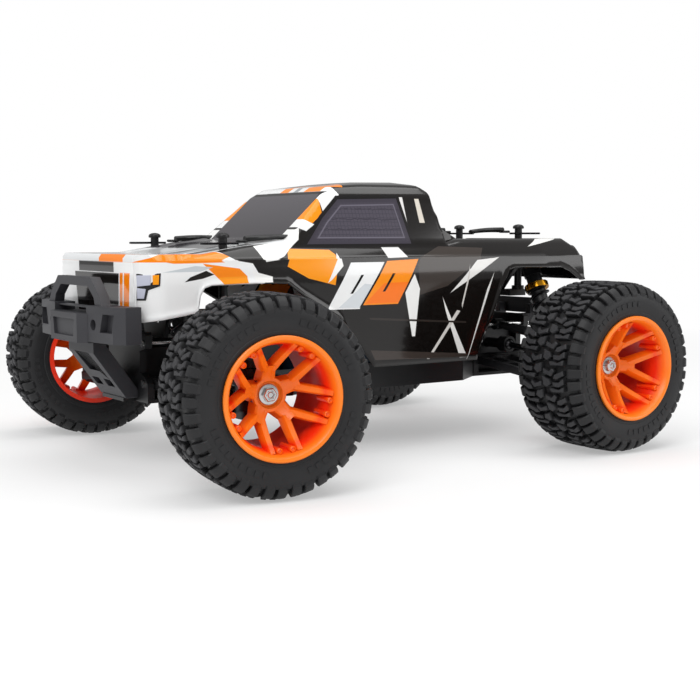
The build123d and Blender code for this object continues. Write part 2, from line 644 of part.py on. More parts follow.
def spur_gear(teeth, radius, width):
    """A spur gear with straight-sided teeth, about the origin along the truck."""
    points = []
    for tooth in range(teeth):
        for share, r in ((-0.30, -1.15), (-0.13, 0.85), (0.13, 0.85), (0.30, -1.15)):
            angle = 2 * pi * (tooth + share) / teeth
            reach = radius + r * MODULE
            points.append((reach * cos(angle), reach * sin(angle)))
    return along(points, 0, width)


def centre_shaft():
    """The shaft between the gearboxes with the big gear on it."""
    reach = CHEEK_OUTER - 3
    shaft = bar_y(0, DIFF_Z, FRONT_AXLE_Y + reach, REAR_AXLE_Y - reach, SHAFT)
    gear = Pos(0, SPUR_Y, DIFF_Z) * spur_gear(SPUR_TEETH, SPUR_RADIUS, GEAR_FACE)
    for turn in range(5):
        angle = 2 * pi * turn / 5
        x, z = 12 * cos(angle), DIFF_Z + 12 * sin(angle)
        gear -= bar_y(x, z, SPUR_Y - 1, SPUR_Y + GEAR_FACE + 1, 3.5)
    hub = bar_y(0, DIFF_Z, SPUR_Y - 1, SPUR_Y + GEAR_FACE + 4, 6.0)
    return shaft + gear + hub


def motor():
    """The motor can against its bulkhead."""
    face = SPUR_Y - 10
    can = bar_y(MOTOR_X, DIFF_Z, face - MOTOR_LENGTH, face, MOTOR_RADIUS)
    edges = can.edges().filter_by(GeomType.CIRCLE).group_by(Axis.Y)[0]
    can = chamfer(edges, 2)
    can += bar_y(MOTOR_X, DIFF_Z, face - MOTOR_LENGTH - 3, face - MOTOR_LENGTH + 1, 6.0)
    can += bar_y(MOTOR_X, DIFF_Z, face - 1, face + 1.5, 5.0)
    return can - bar_y(MOTOR_X, DIFF_Z, face - 12, face + 9, 1.6 + RUN)


def motor_pinion():
    """The small gear on the motor's shaft, in mesh with the big one."""
    gear = spur_gear(PINION_TEETH, PINION_RADIUS, GEAR_FACE)
    turn_to_gap = 0 if PINION_TEETH % 2 else 180 / PINION_TEETH
    gear = Rot(0, turn_to_gap, 0) * gear
    pinion = Pos(MOTOR_X, SPUR_Y, DIFF_Z) * gear
    return pinion + bar_y(MOTOR_X, DIFF_Z, SPUR_Y - 20, SPUR_Y + GEAR_FACE + 1, 1.6)


def battery_pack():
    """The battery on the floor's left side with its strap."""
    x0, x1 = 11.0, TUB_HALF_WIDTH - TUB_WALL - 2
    y0 = SPUR_Y - 3 - BATTERY_LENGTH
    pack = block(x0, x1, y0, y0 + BATTERY_LENGTH, FLOOR_TOP, FLOOR_TOP + 25)
    pack = fillet(pack.edges().filter_by(Axis.Y), 3)
    strap = block(x0 + 1, x1 - 1, y0 + 50, y0 + 68, FLOOR_TOP + 25, FLOOR_TOP + 27)
    return pack, strap


def speed_controller():
    """The speed controller with its fan and the receiver box ahead of it."""
    x0, x1 = 4 - TUB_HALF_WIDTH + TUB_WALL, -10.0
    y0 = CRANK_Y + 46
    case = block(x0, x1, y0, y0 + 42, FLOOR_TOP, FLOOR_TOP + 18)
    case += block(x0 + 5, x1 - 5, y0 + 6, y0 + 34, FLOOR_TOP + 18, FLOOR_TOP + 26)
    receiver = block(x0, x1 - 6, y0 - 34, y0 - 5, FLOOR_TOP, FLOOR_TOP + 15)
    return fillet(case.edges().filter_by(Axis.Z), 1.5), fillet(receiver.edges().filter_by(Axis.Z), 2)


# ---------------------------------------------------------------- towers, posts and clips
TOWER_THICK = 3.5
TOWER_NEAR = 3.5              # tower's inner face from the axle
POST_RADIUS = 3.0
POSTS = {"front": (53.5, FRONT_AXLE_Y + 19.8, 97.9), "rear": (38.0, REAR_AXLE_Y + 16.0, 104.5)}
POST_FOOT = {"front": 45.0, "rear": 52.0}


def tower(end, axle_y, shock_side):
    """The plate that stands on a gearbox and holds the tops of two shocks and two body posts."""
    top_x, top_z = SHOCK_TOP[end]
    gear_top = CHEEK_TOP - 6
    half = [(15, gear_top), (20, gear_top + 14), (top_x - 8, top_z - 14), (top_x + 4, top_z - 2),
            (top_x + 4, top_z + 4), (top_x - 4, top_z + 4), (top_x - 16, top_z - 4)]
    near, far = shock_side * TOWER_NEAR, shock_side * (TOWER_NEAR + TOWER_THICK)
    y0, y1 = axle_y + min(near, far), axle_y + max(near, far)
    plate = along(both_sides(half), y0, y1)
    plate -= along(both_sides([(7, gear_top + 10), (12, top_z - 14)]), y0 - 1, y1 + 1)
    shock_y = axle_y + shock_side * (SHOCK_OFFSET + 5)
    post_x, post_y, _ = POSTS[end]
    foot = POST_FOOT[end]
    for side in (-1, 1):
        plate += rod((side * top_x, (y0 + y1) / 2, top_z), (side * top_x, shock_y, top_z), PIN)
        x0, x1 = sorted((side * (top_x - 22), side * (post_x + 4.5)))
        beam_y0, beam_y1 = min(y0, post_y - 4.5), max(y1, post_y + 4.5)
        plate += block(x0, x1, beam_y0, beam_y1, foot - 5, foot)
        plate -= rod((side * post_x, post_y, foot - 9), (side * post_x, post_y, foot + 9),
                     POST_RADIUS + SEAT)
    return plate


def body_post(end, side):
    """A body post with a shoulder under the shell, a domed cap and a hole for its clip."""
    x, y, top = POSTS[end]
    x *= side
    post = rod((x, y, POST_FOOT[end] - 5), (x, y, top - 3), POST_RADIUS)
    post += rod((x, y, top - 3.2), (x, y, top - 1), 4.0)
    post += rod((x, y, top - 1.2), (x, y, top), 2.8)
    post += rod((x, y, POST_FOOT[end]), (x, y, POST_FOOT[end] + 3), 5.0)
    return post - bar_y(x, top - 7, y - 9, y + 9, 0.9)


def body_clip(end, side):
    """A bent wire clip: one leg through the post, the other along its side."""
    x, y, top = POSTS[end]
    turn = -1 if end == "front" else 1
    level = top - 7
    beside = POST_RADIUS + 1.3
    route = [(0, -9), (0, 14), (2.2, 18), (7.2, 17), (7.0, 12), (beside, 5), (beside + 1.2, 1),
             (beside, -4), (beside + 1.6, -9)]
    points = [(side * x + side * a, y + turn * b, level) for a, b in route]
    path = FilletPolyline(*points, radius=1.5)
    return sweep(Plane(origin=path @ 0, z_dir=path % 0) * Circle(0.8), path=path)


# ---------------------------------------------------------------- bumpers and brace
BUMPER_FACE = FRONT_AXLE_Y - FRONT_OVERHANG
BUMPER_LOW = 25.5
BUMPER_HIGH = 45.0
WING_HIGH = 50.5
WING_X = 71.0


def front_bumper():
    """The front bumper: a centre block, two wings with tow eyes, a hoop and two mounting arms."""
    face = BUMPER_FACE
    centre = [(-23.5, face), (23.5, face), (30, face + 5), (30, face + 22), (-30, face + 22),
              (-30, face + 5)]
    bumper = upward(centre, BUMPER_LOW, BUMPER_HIGH)
    wing = [(28, face + 5), (WING_X - 8, face + 8.5), (WING_X, face + 14), (WING_X, face + 25),
            (WING_X - 5, face + 26), (WING_X - 11, face + 23), (28, face + 20)]
    for side in (-1, 1):
        plan = [(side * x, y) for x, y in wing]
        piece = upward(plan, BUMPER_LOW + 1, WING_HIGH)
        bumper += piece
        bumper -= along([(side * 46, BUMPER_LOW + 8), (side * 62, BUMPER_LOW + 8),
                         (side * 64, WING_HIGH - 5), (side * 50, WING_HIGH - 5)],
                        face + 4, face + 12)
        bumper -= bar_y(side * 37, 38, face, face + 40, 3.6)
    ring = both_sides([(48, WING_HIGH - 2), (42, WING_HIGH + 7), (29, WING_HIGH + 18.5)])
    hole = both_sides([(36, WING_HIGH - 1), (34, WING_HIGH + 5), (24, WING_HIGH + 12.5)])
    bumper += along(ring, face + 8, face + 15) - along(hole, face, face + 30)
    bumper -= along(both_sides([(17, BUMPER_LOW + 4), (19, BUMPER_HIGH - 4)]), face - 1, face + 2)
    back = FRONT_AXLE_Y - CHEEK_OUTER
    for side in (-1, 1):
        x0, x1 = sorted((side * 13, side * 19))
        bumper += block(x0, x1, face + 20, back, BUMPER_LOW, CHEEK_TOP - 1)
    return bumper


def front_brace():
    """The slanted skid brace from under the bumper down to the floor's nose."""
    top_y, top_z = BUMPER_FACE + 12, BUMPER_LOW
    low_y, low_z = FRONT_AXLE_Y - CHEEK_OUTER - 4.5, FLOOR_TOP
    thick = 4.0
    side_view = [(top_y, top_z), (top_y + 7, top_z), (low_y + 4.5, low_z + 6), (low_y + 4.5, low_z),
                 (low_y - thick, low_z), (top_y, top_z - 8)]
    brace = across(side_view, -22, 22)
    brace -= along([(-12, 17), (12, 17), (9, 4), (-9, 4)], BUMPER_FACE, FRONT_AXLE_Y)
    for side in (-1, 1):
        x0, x1 = sorted((side * 4, side * 16))
        brace -= block(x0, x1, BUMPER_FACE, FRONT_AXLE_Y, -7, -2)
    return brace


def rear_bumper():
    """A plain bar behind the tail on two arms."""
    y = REAR_AXLE_Y + CHEEK_OUTER
    bar = block(-46, 46, y + 20, y + 25, 30, 43)
    bar = fillet(bar.edges().filter_by(Axis.Y), 4)
    for side in (-1, 1):
        x0, x1 = sorted((side * 16, side * 22))
        bar += block(x0, x1, y, y + 21, 20, 30.5)
        bar += block(x0, x1, y + 14, y + 21, 20, 38)
    return bar


# ---------------------------------------------------------------- body shell
SHOULDER_Z = 89.5
DECK_Z = 86.5


def body_form(inset):
    """The body as a full form, drawn in by inset all round, before it is hollowed and trimmed."""
    f, r, low = FRONT_AXLE_Y, REAR_AXLE_Y, -30.0
    side = [(f - 48, low), (f - 48.5, 55.5), (f - 47, 74.5), (f - 7, 83), (f + 65.5, 93.8),
            (f + 85, 90.5), (r - 83, 90.5), (r - 68, 93.5), (r + 46.5, 93.5), (r + 52, 60.5),
            (r + 52, low)]
    wide = BODY_HALF_WIDTH
    front = both_sides([(wide, low), (wide, 65.5), (wide - 2, 77.5), (wide - 13, SHOULDER_Z),
                        (wide - 19, 94.5)])
    plan_right = [(wide - 18, f - 49), (wide - 5, f - 36), (wide, f - 7), (wide, r + 10),
                  (wide - 3, r + 53)]
    plan = plan_right + [(-x, y) for x, y in reversed(plan_right)]
    roof = ROOF_HEIGHT
    cab_side = [(f + 62, SHOULDER_Z - 5), (f + 66, 93.8), (f + 101, roof - 12), (f + 108, roof - 6.5),
                (f + 143, roof - 1.5), (r - 107, roof), (r - 92, roof - 2.5), (r - 86, roof - 8),
                (r - 81, SHOULDER_Z), (r - 81, SHOULDER_Z - 5)]
    cab_front = both_sides([(wide - 12, SHOULDER_Z - 5), (wide - 12, SHOULDER_Z),
                            (wide - 27, roof - 12), (wide - 35, roof - 4), (wide - 49, roof - 0.5)])

    def drawn_in(points):
        return offset(face_of(points), -inset, kind=Kind.INTERSECTION) if inset else face_of(points)

    def carried(plane, points, length):
        return extrude(plane * drawn_in(points), length)

    across_plane, along_plane = Plane.YZ.offset(-100), Plane.XZ.offset(-300)
    lower = carried(across_plane, side, 200) & carried(along_plane, front, 600)
    lower &= carried(Plane.XY.offset(low), plan, 200)
    cab = carried(across_plane, cab_side, 200) & carried(along_plane, cab_front, 600)
    deck = block(-wide + 23 - inset, wide - 23 + inset, r - 72 - inset, r + 40 + inset,
                 DECK_Z - inset, 200)
    if inset:
        cab += block(-wide + 26, wide - 26, f + 72, r - 84, SHOULDER_Z - 12, SHOULDER_Z + 8)
    return (lower - deck) + cab


def body_shell():
    """The thin moulded shell, open underneath, with its wheel arches, sills and post holes."""
    f, r = FRONT_AXLE_Y, REAR_AXLE_Y
    shell = body_form(0) - body_form(SHELL_WALL)
    trim = [(f - 60, 40.5), (f - 45.7, 40.5), (f - 12.8, 46.2), (f - 10, 60.2), (f - 4, 64),
            (f + 32, 64.5), (f + 58.5, 63.8), (f + 69, 54.7), (f + 97.2, 38.5), (f + 105.6, 29.3),
            (f + 129, 1.5), (r - 61, 1.5), (r - 33, 71.5), (r + 36, 71), (r + 48, 60.5),
            (r + 60, 60.5), (r + 60, -40), (f - 60, -40)]
    shell -= across(trim, -120, 120)
    for x, y, _ in POSTS.values():
        for side in (-1, 1):
            shell -= rod((side * x, y, 60), (side * x, y, 120), POST_RADIUS + 0.6)
    return shell


# ---------------------------------------------------------------- assembly
def steered(shape):
    """Turn a left front piece about its kingpin to how the wheels stand."""
    pivot = (KINGPIN_X, FRONT_AXLE_Y, 0)
    return Pos(*pivot) * Rot(0, 0, STEER_DEGREES) * Pos(-pivot[0], -pivot[1], 0) * shape


def steered_right(shape):
    """The same for a right front piece, which turns the same way."""
    pivot = (-KINGPIN_X, FRONT_AXLE_Y, 0)
    return Pos(*pivot) * Rot(0, 0, STEER_DEGREES) * Pos(-pivot[0], -pivot[1], 0) * shape


def save_corner(end, axle_y, shock_side):
    """Write the pieces of both wheels' suspension at one end of the truck."""
    _, _, length = shock_line(end)
    fixed = {
        "lower_arm": [lower_arm(shock_side)],
        "shock_body": [hung_on_shock(shock_body(), end, shock_side)],
        "shock_shaft": [hung_on_shock(shock_shaft(length), end, shock_side)],
        "halfshaft": [half_shaft()],
    }
    wheel = {"tyre": [tyre()], "rim": [rim()], "axle": stub_axle()}
    if end == "front":
        fixed["upper_arm"] = [upper_arm(shock_side)]
        fixed["caster_block"] = [caster_block(), *outer_pins()]
        wheel["knuckle"] = [knuckle()]
    else:
        fixed["upper_link"] = [upper_link()]
        fixed["upright"] = [upright(), *outer_pins()]
    for name, shapes in (fixed | wheel).items():
        left = [Pos(0, axle_y, 0) * shape for shape in shapes]
        turns = end == "front" and name in wheel
        # A knuckle's steering arm, like everything else here, is mirrored to the right side.
        right = [mirrored(shape) for shape in left]
        save(f"{end}_left_{name}", *[steered(shape) if turns else shape for shape in left])
        save(f"{end}_right_{name}", *[steered_right(shape) if turns else shape for shape in right])


def shock_springs():
    """All four springs, each about its own shock."""
    springs = []
    for end, axle_y, shock_side in (("front", FRONT_AXLE_Y, -1), ("rear", REAR_AXLE_Y, 1)):
        _, _, length = shock_line(end)
        left = Pos(0, axle_y, 0) * hung_on_shock(spring(length), end, shock_side)
        springs += [left, mirrored(left)]
    return springs


def main():
    """Write every piece of the truck."""
    os.makedirs("parts", exist_ok=True)
    save_corner("front", FRONT_AXLE_Y, -1)
    save_corner("rear", REAR_AXLE_Y, 1)
    save("shock_springs", *shock_springs())
    save("steering_servo", steering_servo())
    save("servo_horn", crank(1))
    save("idler_crank", crank(-1))
    save("steering_plate", steering_plate())
    save("left_tie_rod", tie_rod(1))
    save("right_tie_rod", tie_rod(-1))
    save("chassis_tub", chassis_tub())
    save("gearbox_housings", gearbox(FRONT_AXLE_Y, 1), gearbox(REAR_AXLE_Y, -1))
    save("hinge_pins", *hinge_pins())
    save("centre_shaft", centre_shaft())
    save("motor", motor())
    save("motor_pinion", motor_pinion())
    save("battery_pack", *battery_pack())
    save("speed_controller", *speed_controller())
    save("shock_towers", tower("front", FRONT_AXLE_Y, -1), tower("rear", REAR_AXLE_Y, 1))
    save("body_posts", *[body_post(end, side) for end in POSTS for side in (-1, 1)])
    save("body_clips", *[body_clip(end, side) for end in POSTS for side in (-1, 1)])
    save("front_bumper", front_bumper())
    save("front_brace", front_brace())
    save("rear_bumper", rear_bumper())
    save("body_shell", body_shell())


main()
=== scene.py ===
"""Looks of the remote-controlled monster truck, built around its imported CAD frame.

Lengths in the sizes are millimetres of the frame: the truck faces -Y, its left side is +X and its
tyres stand on z = 0. Meshes are written in metres.
"""

import json
import logging
import math
from array import array
from dataclasses import dataclass
from enum import Enum
from typing import Iterable, Sequence

import bmesh
import bpy
from mathutils import Matrix, Vector


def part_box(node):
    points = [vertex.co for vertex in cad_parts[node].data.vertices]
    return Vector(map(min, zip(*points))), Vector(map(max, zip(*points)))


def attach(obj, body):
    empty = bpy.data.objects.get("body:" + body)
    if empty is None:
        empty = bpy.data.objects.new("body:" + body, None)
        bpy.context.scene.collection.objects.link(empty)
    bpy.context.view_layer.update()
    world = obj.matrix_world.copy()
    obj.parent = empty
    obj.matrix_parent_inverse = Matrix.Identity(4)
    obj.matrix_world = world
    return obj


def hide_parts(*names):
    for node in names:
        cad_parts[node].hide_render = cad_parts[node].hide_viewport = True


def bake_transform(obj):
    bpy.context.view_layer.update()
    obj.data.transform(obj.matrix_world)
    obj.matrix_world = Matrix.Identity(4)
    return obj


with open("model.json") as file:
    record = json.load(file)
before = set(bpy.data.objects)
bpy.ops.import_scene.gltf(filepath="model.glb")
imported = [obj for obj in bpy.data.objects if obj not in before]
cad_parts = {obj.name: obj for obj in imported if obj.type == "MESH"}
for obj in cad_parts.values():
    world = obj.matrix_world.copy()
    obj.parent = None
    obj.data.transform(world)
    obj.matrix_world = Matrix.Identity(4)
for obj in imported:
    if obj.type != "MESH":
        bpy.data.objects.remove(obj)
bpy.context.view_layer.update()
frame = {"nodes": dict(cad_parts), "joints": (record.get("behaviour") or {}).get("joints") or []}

MM = 0.001
FINISH_PREFIX = "finish_"
WHEEL_PLACE = "wheel_place"
LOG = logging.getLogger("truck")
Point = tuple[float, float, float]
Flat = tuple[float, float]
Colour = tuple[float, float, float, float]


# ---------------------------------------------------------------- places read from the frame
def middle(node: str) -> Vector:
    """The middle of a CAD node's box, in millimetres.

    Args:
        node: The CAD node's name.

    Returns:
        Its middle.
    """
    low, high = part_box(node)
    return (low + high) / 2 / MM


def joint(name: str) -> dict:
    """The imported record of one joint.

    Args:
        name: The joint's name.

    Returns:
        Its record.
    """
    return next(item for item in frame["joints"] if item["name"] == name)


FRONT_AXLE_Y = joint("front_left_lower_arm_swing")["pos_m"][1] / MM
REAR_AXLE_Y = joint("rear_left_lower_arm_swing")["pos_m"][1] / MM
AXLE_Z = joint("front_left_knuckle_steer")["pos_m"][2] / MM
CORNER_KEYS = ("front_left", "front_right", "rear_left", "rear_right")


# ---------------------------------------------------------------- shader toolkit
def tint(code: str) -> Colour:
    """A colour from its written code.

    Args:
        code: Six hexadecimal digits as a screen shows the colour.

    Returns:
        The same colour in linear light.
    """
    parts = [int(code[i:i + 2], 16) / 255 for i in (0, 2, 4)]
    linear = [p / 12.92 if p <= 0.04045 else ((p + 0.055) / 1.055) ** 2.4 for p in parts]
    return (linear[0], linear[1], linear[2], 1.0)


@dataclass(frozen=True)
class Wire:
    """A shader socket that Python's operators turn into Math nodes."""

    shader: "Shader"
    socket: bpy.types.NodeSocket

    def math(self, operation: str, *others: "Wire | float", first: bool = True) -> "Wire":
        """Add a Math node.

        Args:
            operation: The node's operation.
            others: Its other values.
            first: Whether this wire is the first value or the second.

        Returns:
            The result.
        """
        values = [self, *others] if first else [*others, self]
        return self.shader.node("ShaderNodeMath", {"operation": operation}, dict(enumerate(values)))

    def __add__(self, other: "Wire | float") -> "Wire":
        """Sum."""
        return self.math("ADD", other)

    def __sub__(self, other: "Wire | float") -> "Wire":
        """Difference."""
        return self.math("SUBTRACT", other)

    def __rsub__(self, other: float) -> "Wire":
        """Difference, reflected."""
        return self.math("SUBTRACT", other, first=False)

    def __mul__(self, other: "Wire | float") -> "Wire":
        """Product."""
        return self.math("MULTIPLY", other)

    def __abs__(self) -> "Wire":
        """Size without sign."""
        return self.math("ABSOLUTE")

    def least(self, other: "Wire | float") -> "Wire":
        """The smaller of two values."""
        return self.math("MINIMUM", other)

    def most(self, other: "Wire | float") -> "Wire":
        """The larger of two values."""
        return self.math("MAXIMUM", other)

    def above(self, level: float, soft: float) -> "Wire":
        """A mask that rises from 0 to 1 about a level.

        Args:
            level: Where the mask is a half.
            soft: The width over which it rises.

        Returns:
            The mask.
        """
        settings = {"clamp": True}
        low, high = level - soft / 2, level + soft / 2
        return self.shader.node("ShaderNodeMapRange", settings, {0: self, 1: low, 2: high}, 0)


class Shader:
    """The nodes of one material, or of the surround, while they are written."""

    def __init__(self, owner: bpy.types.Material | bpy.types.World) -> None:
        """Start with no nodes.

        Args:
            owner: The material or world that is written.
        """
        owner.use_nodes = True
        self.owner = owner
        self.tree = owner.node_tree
        self.tree.nodes.clear()

    @classmethod
    def named(cls, name: str) -> "Shader":
        """Start an empty material.

        Args:
            name: The material's name.

        Returns:
            Its shader.
        """
        return cls(bpy.data.materials.new(FINISH_PREFIX + name))

    def node(self, kind: str, settings: dict | None = None, inputs: dict | None = None,
             output: int | str = 0) -> Wire:
        """Add one node.

        Args:
            kind: The node's type.
            settings: Properties of the node; "stops" holds a ramp's (place, colour) pairs.
            inputs: Values or wires by socket name or number.
            output: The output that is returned.

        Returns:
            The chosen output.
        """
        made = self.tree.nodes.new(kind)
        for key, value in (settings or {}).items():
            if key == "stops":
                for index, (place, colour) in enumerate(value):
                    ramp = made.color_ramp.elements
                    stop = ramp[index] if index < len(ramp) else ramp.new(place)
                    stop.position, stop.color = place, colour
            else:
                setattr(made, key, value)
        for key, value in (inputs or {}).items():
            if isinstance(value, Wire):
                self.tree.links.new(value.socket, made.inputs[key])
            else:
                made.inputs[key].default_value = value
        return Wire(self, made.outputs[output])

    def place(self) -> Wire:
        """The point on the object, in metres."""
        return self.node("ShaderNodeTexCoord", output="Object")

    def wheel_place(self) -> Wire:
        """The point in its own wheel's frame, in metres, kept on the mesh."""
        return self.node("ShaderNodeAttribute", {"attribute_name": WHEEL_PLACE}, output="Vector")

    def axes(self, source: Wire) -> tuple[Wire, Wire, Wire]:
        """Split a vector.

        Args:
            source: The vector.

        Returns:
            Its x, y and z.
        """
        split = self.node("ShaderNodeSeparateXYZ", inputs={0: source})
        outputs = split.socket.node.outputs
        return tuple(Wire(self, outputs[i]) for i in range(3))

    def noise(self, scale: float, detail: float = 3.0) -> Wire:
        """Even noise between 0 and 1, read at the object's own place.

        Args:
            scale: Waves in a metre.
            detail: Octaves.

        Returns:
            The noise.
        """
        inputs = {"Vector": self.place(), "Scale": scale, "Detail": detail}
        return self.node("ShaderNodeTexNoise", inputs=inputs, output=0)

    def mix(self, mask: Wire | float, low: Wire | Colour, high: Wire | Colour) -> Wire:
        """Blend two colours.

        Args:
            mask: 0 for the first, 1 for the second.
            low: The first colour.
            high: The second colour.

        Returns:
            The blend.
        """
        return self.node("ShaderNodeMix", {"data_type": "RGBA"}, {0: mask, 6: low, 7: high}, 2)

    def bump(self, height: Wire, distance: float, strength: float = 1.0) -> Wire:
        """A normal from a height.

        Args:
            height: The height between 0 and 1.
            distance: How high 1 is, in metres.
            strength: How much of it shows.

        Returns:
            The normal.
        """
        inputs = {"Height": height, "Distance": distance, "Strength": strength}
        return self.node("ShaderNodeBump", inputs=inputs, output=0)

    def outline(self, across: Wire, up: Wire, corners: Sequence[Flat]) -> Wire:
        """How far a point lies inside a convex outline.

        Args:
            across: The first coordinate, in metres.
            up: The second coordinate, in metres.
            corners: The outline, in millimetres, either way round.

        Returns:
            The distance in metres, negative outside.
        """
        pairs = list(zip(corners, [*corners[1:], corners[0]]))
        area = sum(a[0] * b[1] - b[0] * a[1] for a, b in pairs)
        turn = 1 if area > 0 else -1
        inside: Wire | None = None
        for (x0, y0), (x1, y1) in pairs:
            length = math.hypot(x1 - x0, y1 - y0)
            nx, ny = -turn * (y1 - y0) / length, turn * (x1 - x0) / length
            offset = -(x0 * nx + y0 * ny) * MM
            edge = up.math("MULTIPLY_ADD", ny, across.math("MULTIPLY_ADD", nx, offset))
            inside = edge if inside is None else inside.least(edge)
        return inside

    def finish(self, **inputs: Wire | float | Colour) -> bpy.types.Material:
        """Close the material with a Principled surface.

        Args:
            inputs: Its sockets, with _ for a space.

        Returns:
            The material.
        """
        named = {key.replace("_", " "): value for key, value in inputs.items()}
        surface = self.node("ShaderNodeBsdfPrincipled", inputs=named)
        self.node_out(surface)
        return self.owner

    def node_out(self, surface: Wire) -> None:
        """Join a surface to the output.

        Args:
            surface: The finished surface.
        """
        kind = "World" if isinstance(self.owner, bpy.types.World) else "Material"
        out = self.tree.nodes.new("ShaderNodeOutput" + kind)
        self.tree.links.new(surface.socket, out.inputs["Surface"])


# ---------------------------------------------------------------- finishes
@dataclass(frozen=True)
class MouldedPlastic:
    """Moulded plastic with a fine grain and paler rubbed patches."""

    name: str
    colour: str
    pale: str
    roughness: float = 0.5
    grain: float = 0.00006
    scale: float = 900.0

    def make(self) -> bpy.types.Material:
        """The finish as a material."""
        s = Shader.named(self.name)
        broad = s.noise(28.0, 2.0)
        fine = s.noise(self.scale, 2.0)
        base = s.mix(broad.above(0.55, 0.5), tint(self.colour), tint(self.pale))
        rough = broad * 0.14 + (self.roughness - 0.07)
        return s.finish(Base_Color=base, Roughness=rough, Normal=s.bump(fine, self.grain, 0.6),
                        Specular_IOR_Level=0.4)


@dataclass(frozen=True)
class Metal:
    """Turned or drawn metal with fine scratches."""

    name: str
    colour: str
    dark: str
    roughness: float = 0.28

    def make(self) -> bpy.types.Material:
        """The finish as a material."""
        s = Shader.named(self.name)
        broad = s.noise(90.0, 3.0)
        fine = s.noise(2600.0, 2.0)
        base = s.mix(broad.above(0.5, 0.6), tint(self.colour), tint(self.dark))
        rough = fine * 0.12 + (self.roughness - 0.06)
        return s.finish(Base_Color=base, Metallic=1.0, Roughness=rough,
                        Normal=s.bump(fine, 0.00002, 0.4))


@dataclass(frozen=True)
class TyreRubber:
    """Soft black rubber, paler and duller where it meets the ground."""

    name: str = "tyre_rubber"
    tread_radius: float = 61.3

    def make(self) -> bpy.types.Material:
        """The finish as a material."""
        s = Shader.named(self.name)
        _, y, z = s.axes(s.wheel_place())
        radius = (y * y + z * z).math("SQRT")
        tread = radius.above(self.tread_radius * MM, 0.0012)
        cloud = s.noise(60.0, 4.0)
        fine = s.noise(1300.0, 3.0)
        rubber = s.mix(cloud.above(0.5, 0.5), tint("141416"), tint("1D1D1F"))
        worn = s.mix(tread * 0.55, rubber, tint("3A3A3D"))
        rough = tread * 0.10 + cloud * 0.10 + 0.50
        return s.finish(Base_Color=worn, Roughness=rough, Normal=s.bump(fine, 0.0001, 0.5),
                        Specular_IOR_Level=0.42)


@dataclass(frozen=True)
class RimPlastic:
    """Bright orange moulded nylon, with painted shade: a redder orange inside the barrel, where it
    lies in shade.
    """

    name: str = "rim_orange"
    face_depth: float = 26.5
    barrel: float = 28.5

    def make(self) -> bpy.types.Material:
        """The finish as a material."""
        s = Shader.named(self.name)
        x, y, z = s.axes(s.wheel_place())
        radius = (y * y + z * z).math("SQRT")
        # Painted shade: the barrel's inside wall, behind the face and outside the hub and spokes,
        # takes a redder orange; depth is 1 on the lit face and 0 in that shade.
        inner = 1 - radius.above(self.barrel * MM, 0.004)
        depth = x.above(self.face_depth * MM, 0.008).most(inner * 0.9)
        cloud = s.noise(45.0, 2.0)
        fine = s.noise(1500.0, 2.0)
        # The redder orange of the painted shade inside the barrel.
        deep = s.mix(cloud, tint("EE2406"), tint("F83A0C"))
        face = s.mix(cloud, tint("FF7A0C"), tint("FF8818"))
        return s.finish(Base_Color=s.mix(depth, deep, face), Roughness=cloud * 0.1 + 0.30,
                        Normal=s.bump(fine, 0.00003, 0.4), Specular_IOR_Level=0.5)


@dataclass(frozen=True)
class Patch:
    """One painted area of the shell: a convex outline and its colour."""

    corners: Sequence[Flat]
    colour: str
    border: float = 0.0
    border_colour: str = "0E0B0A"


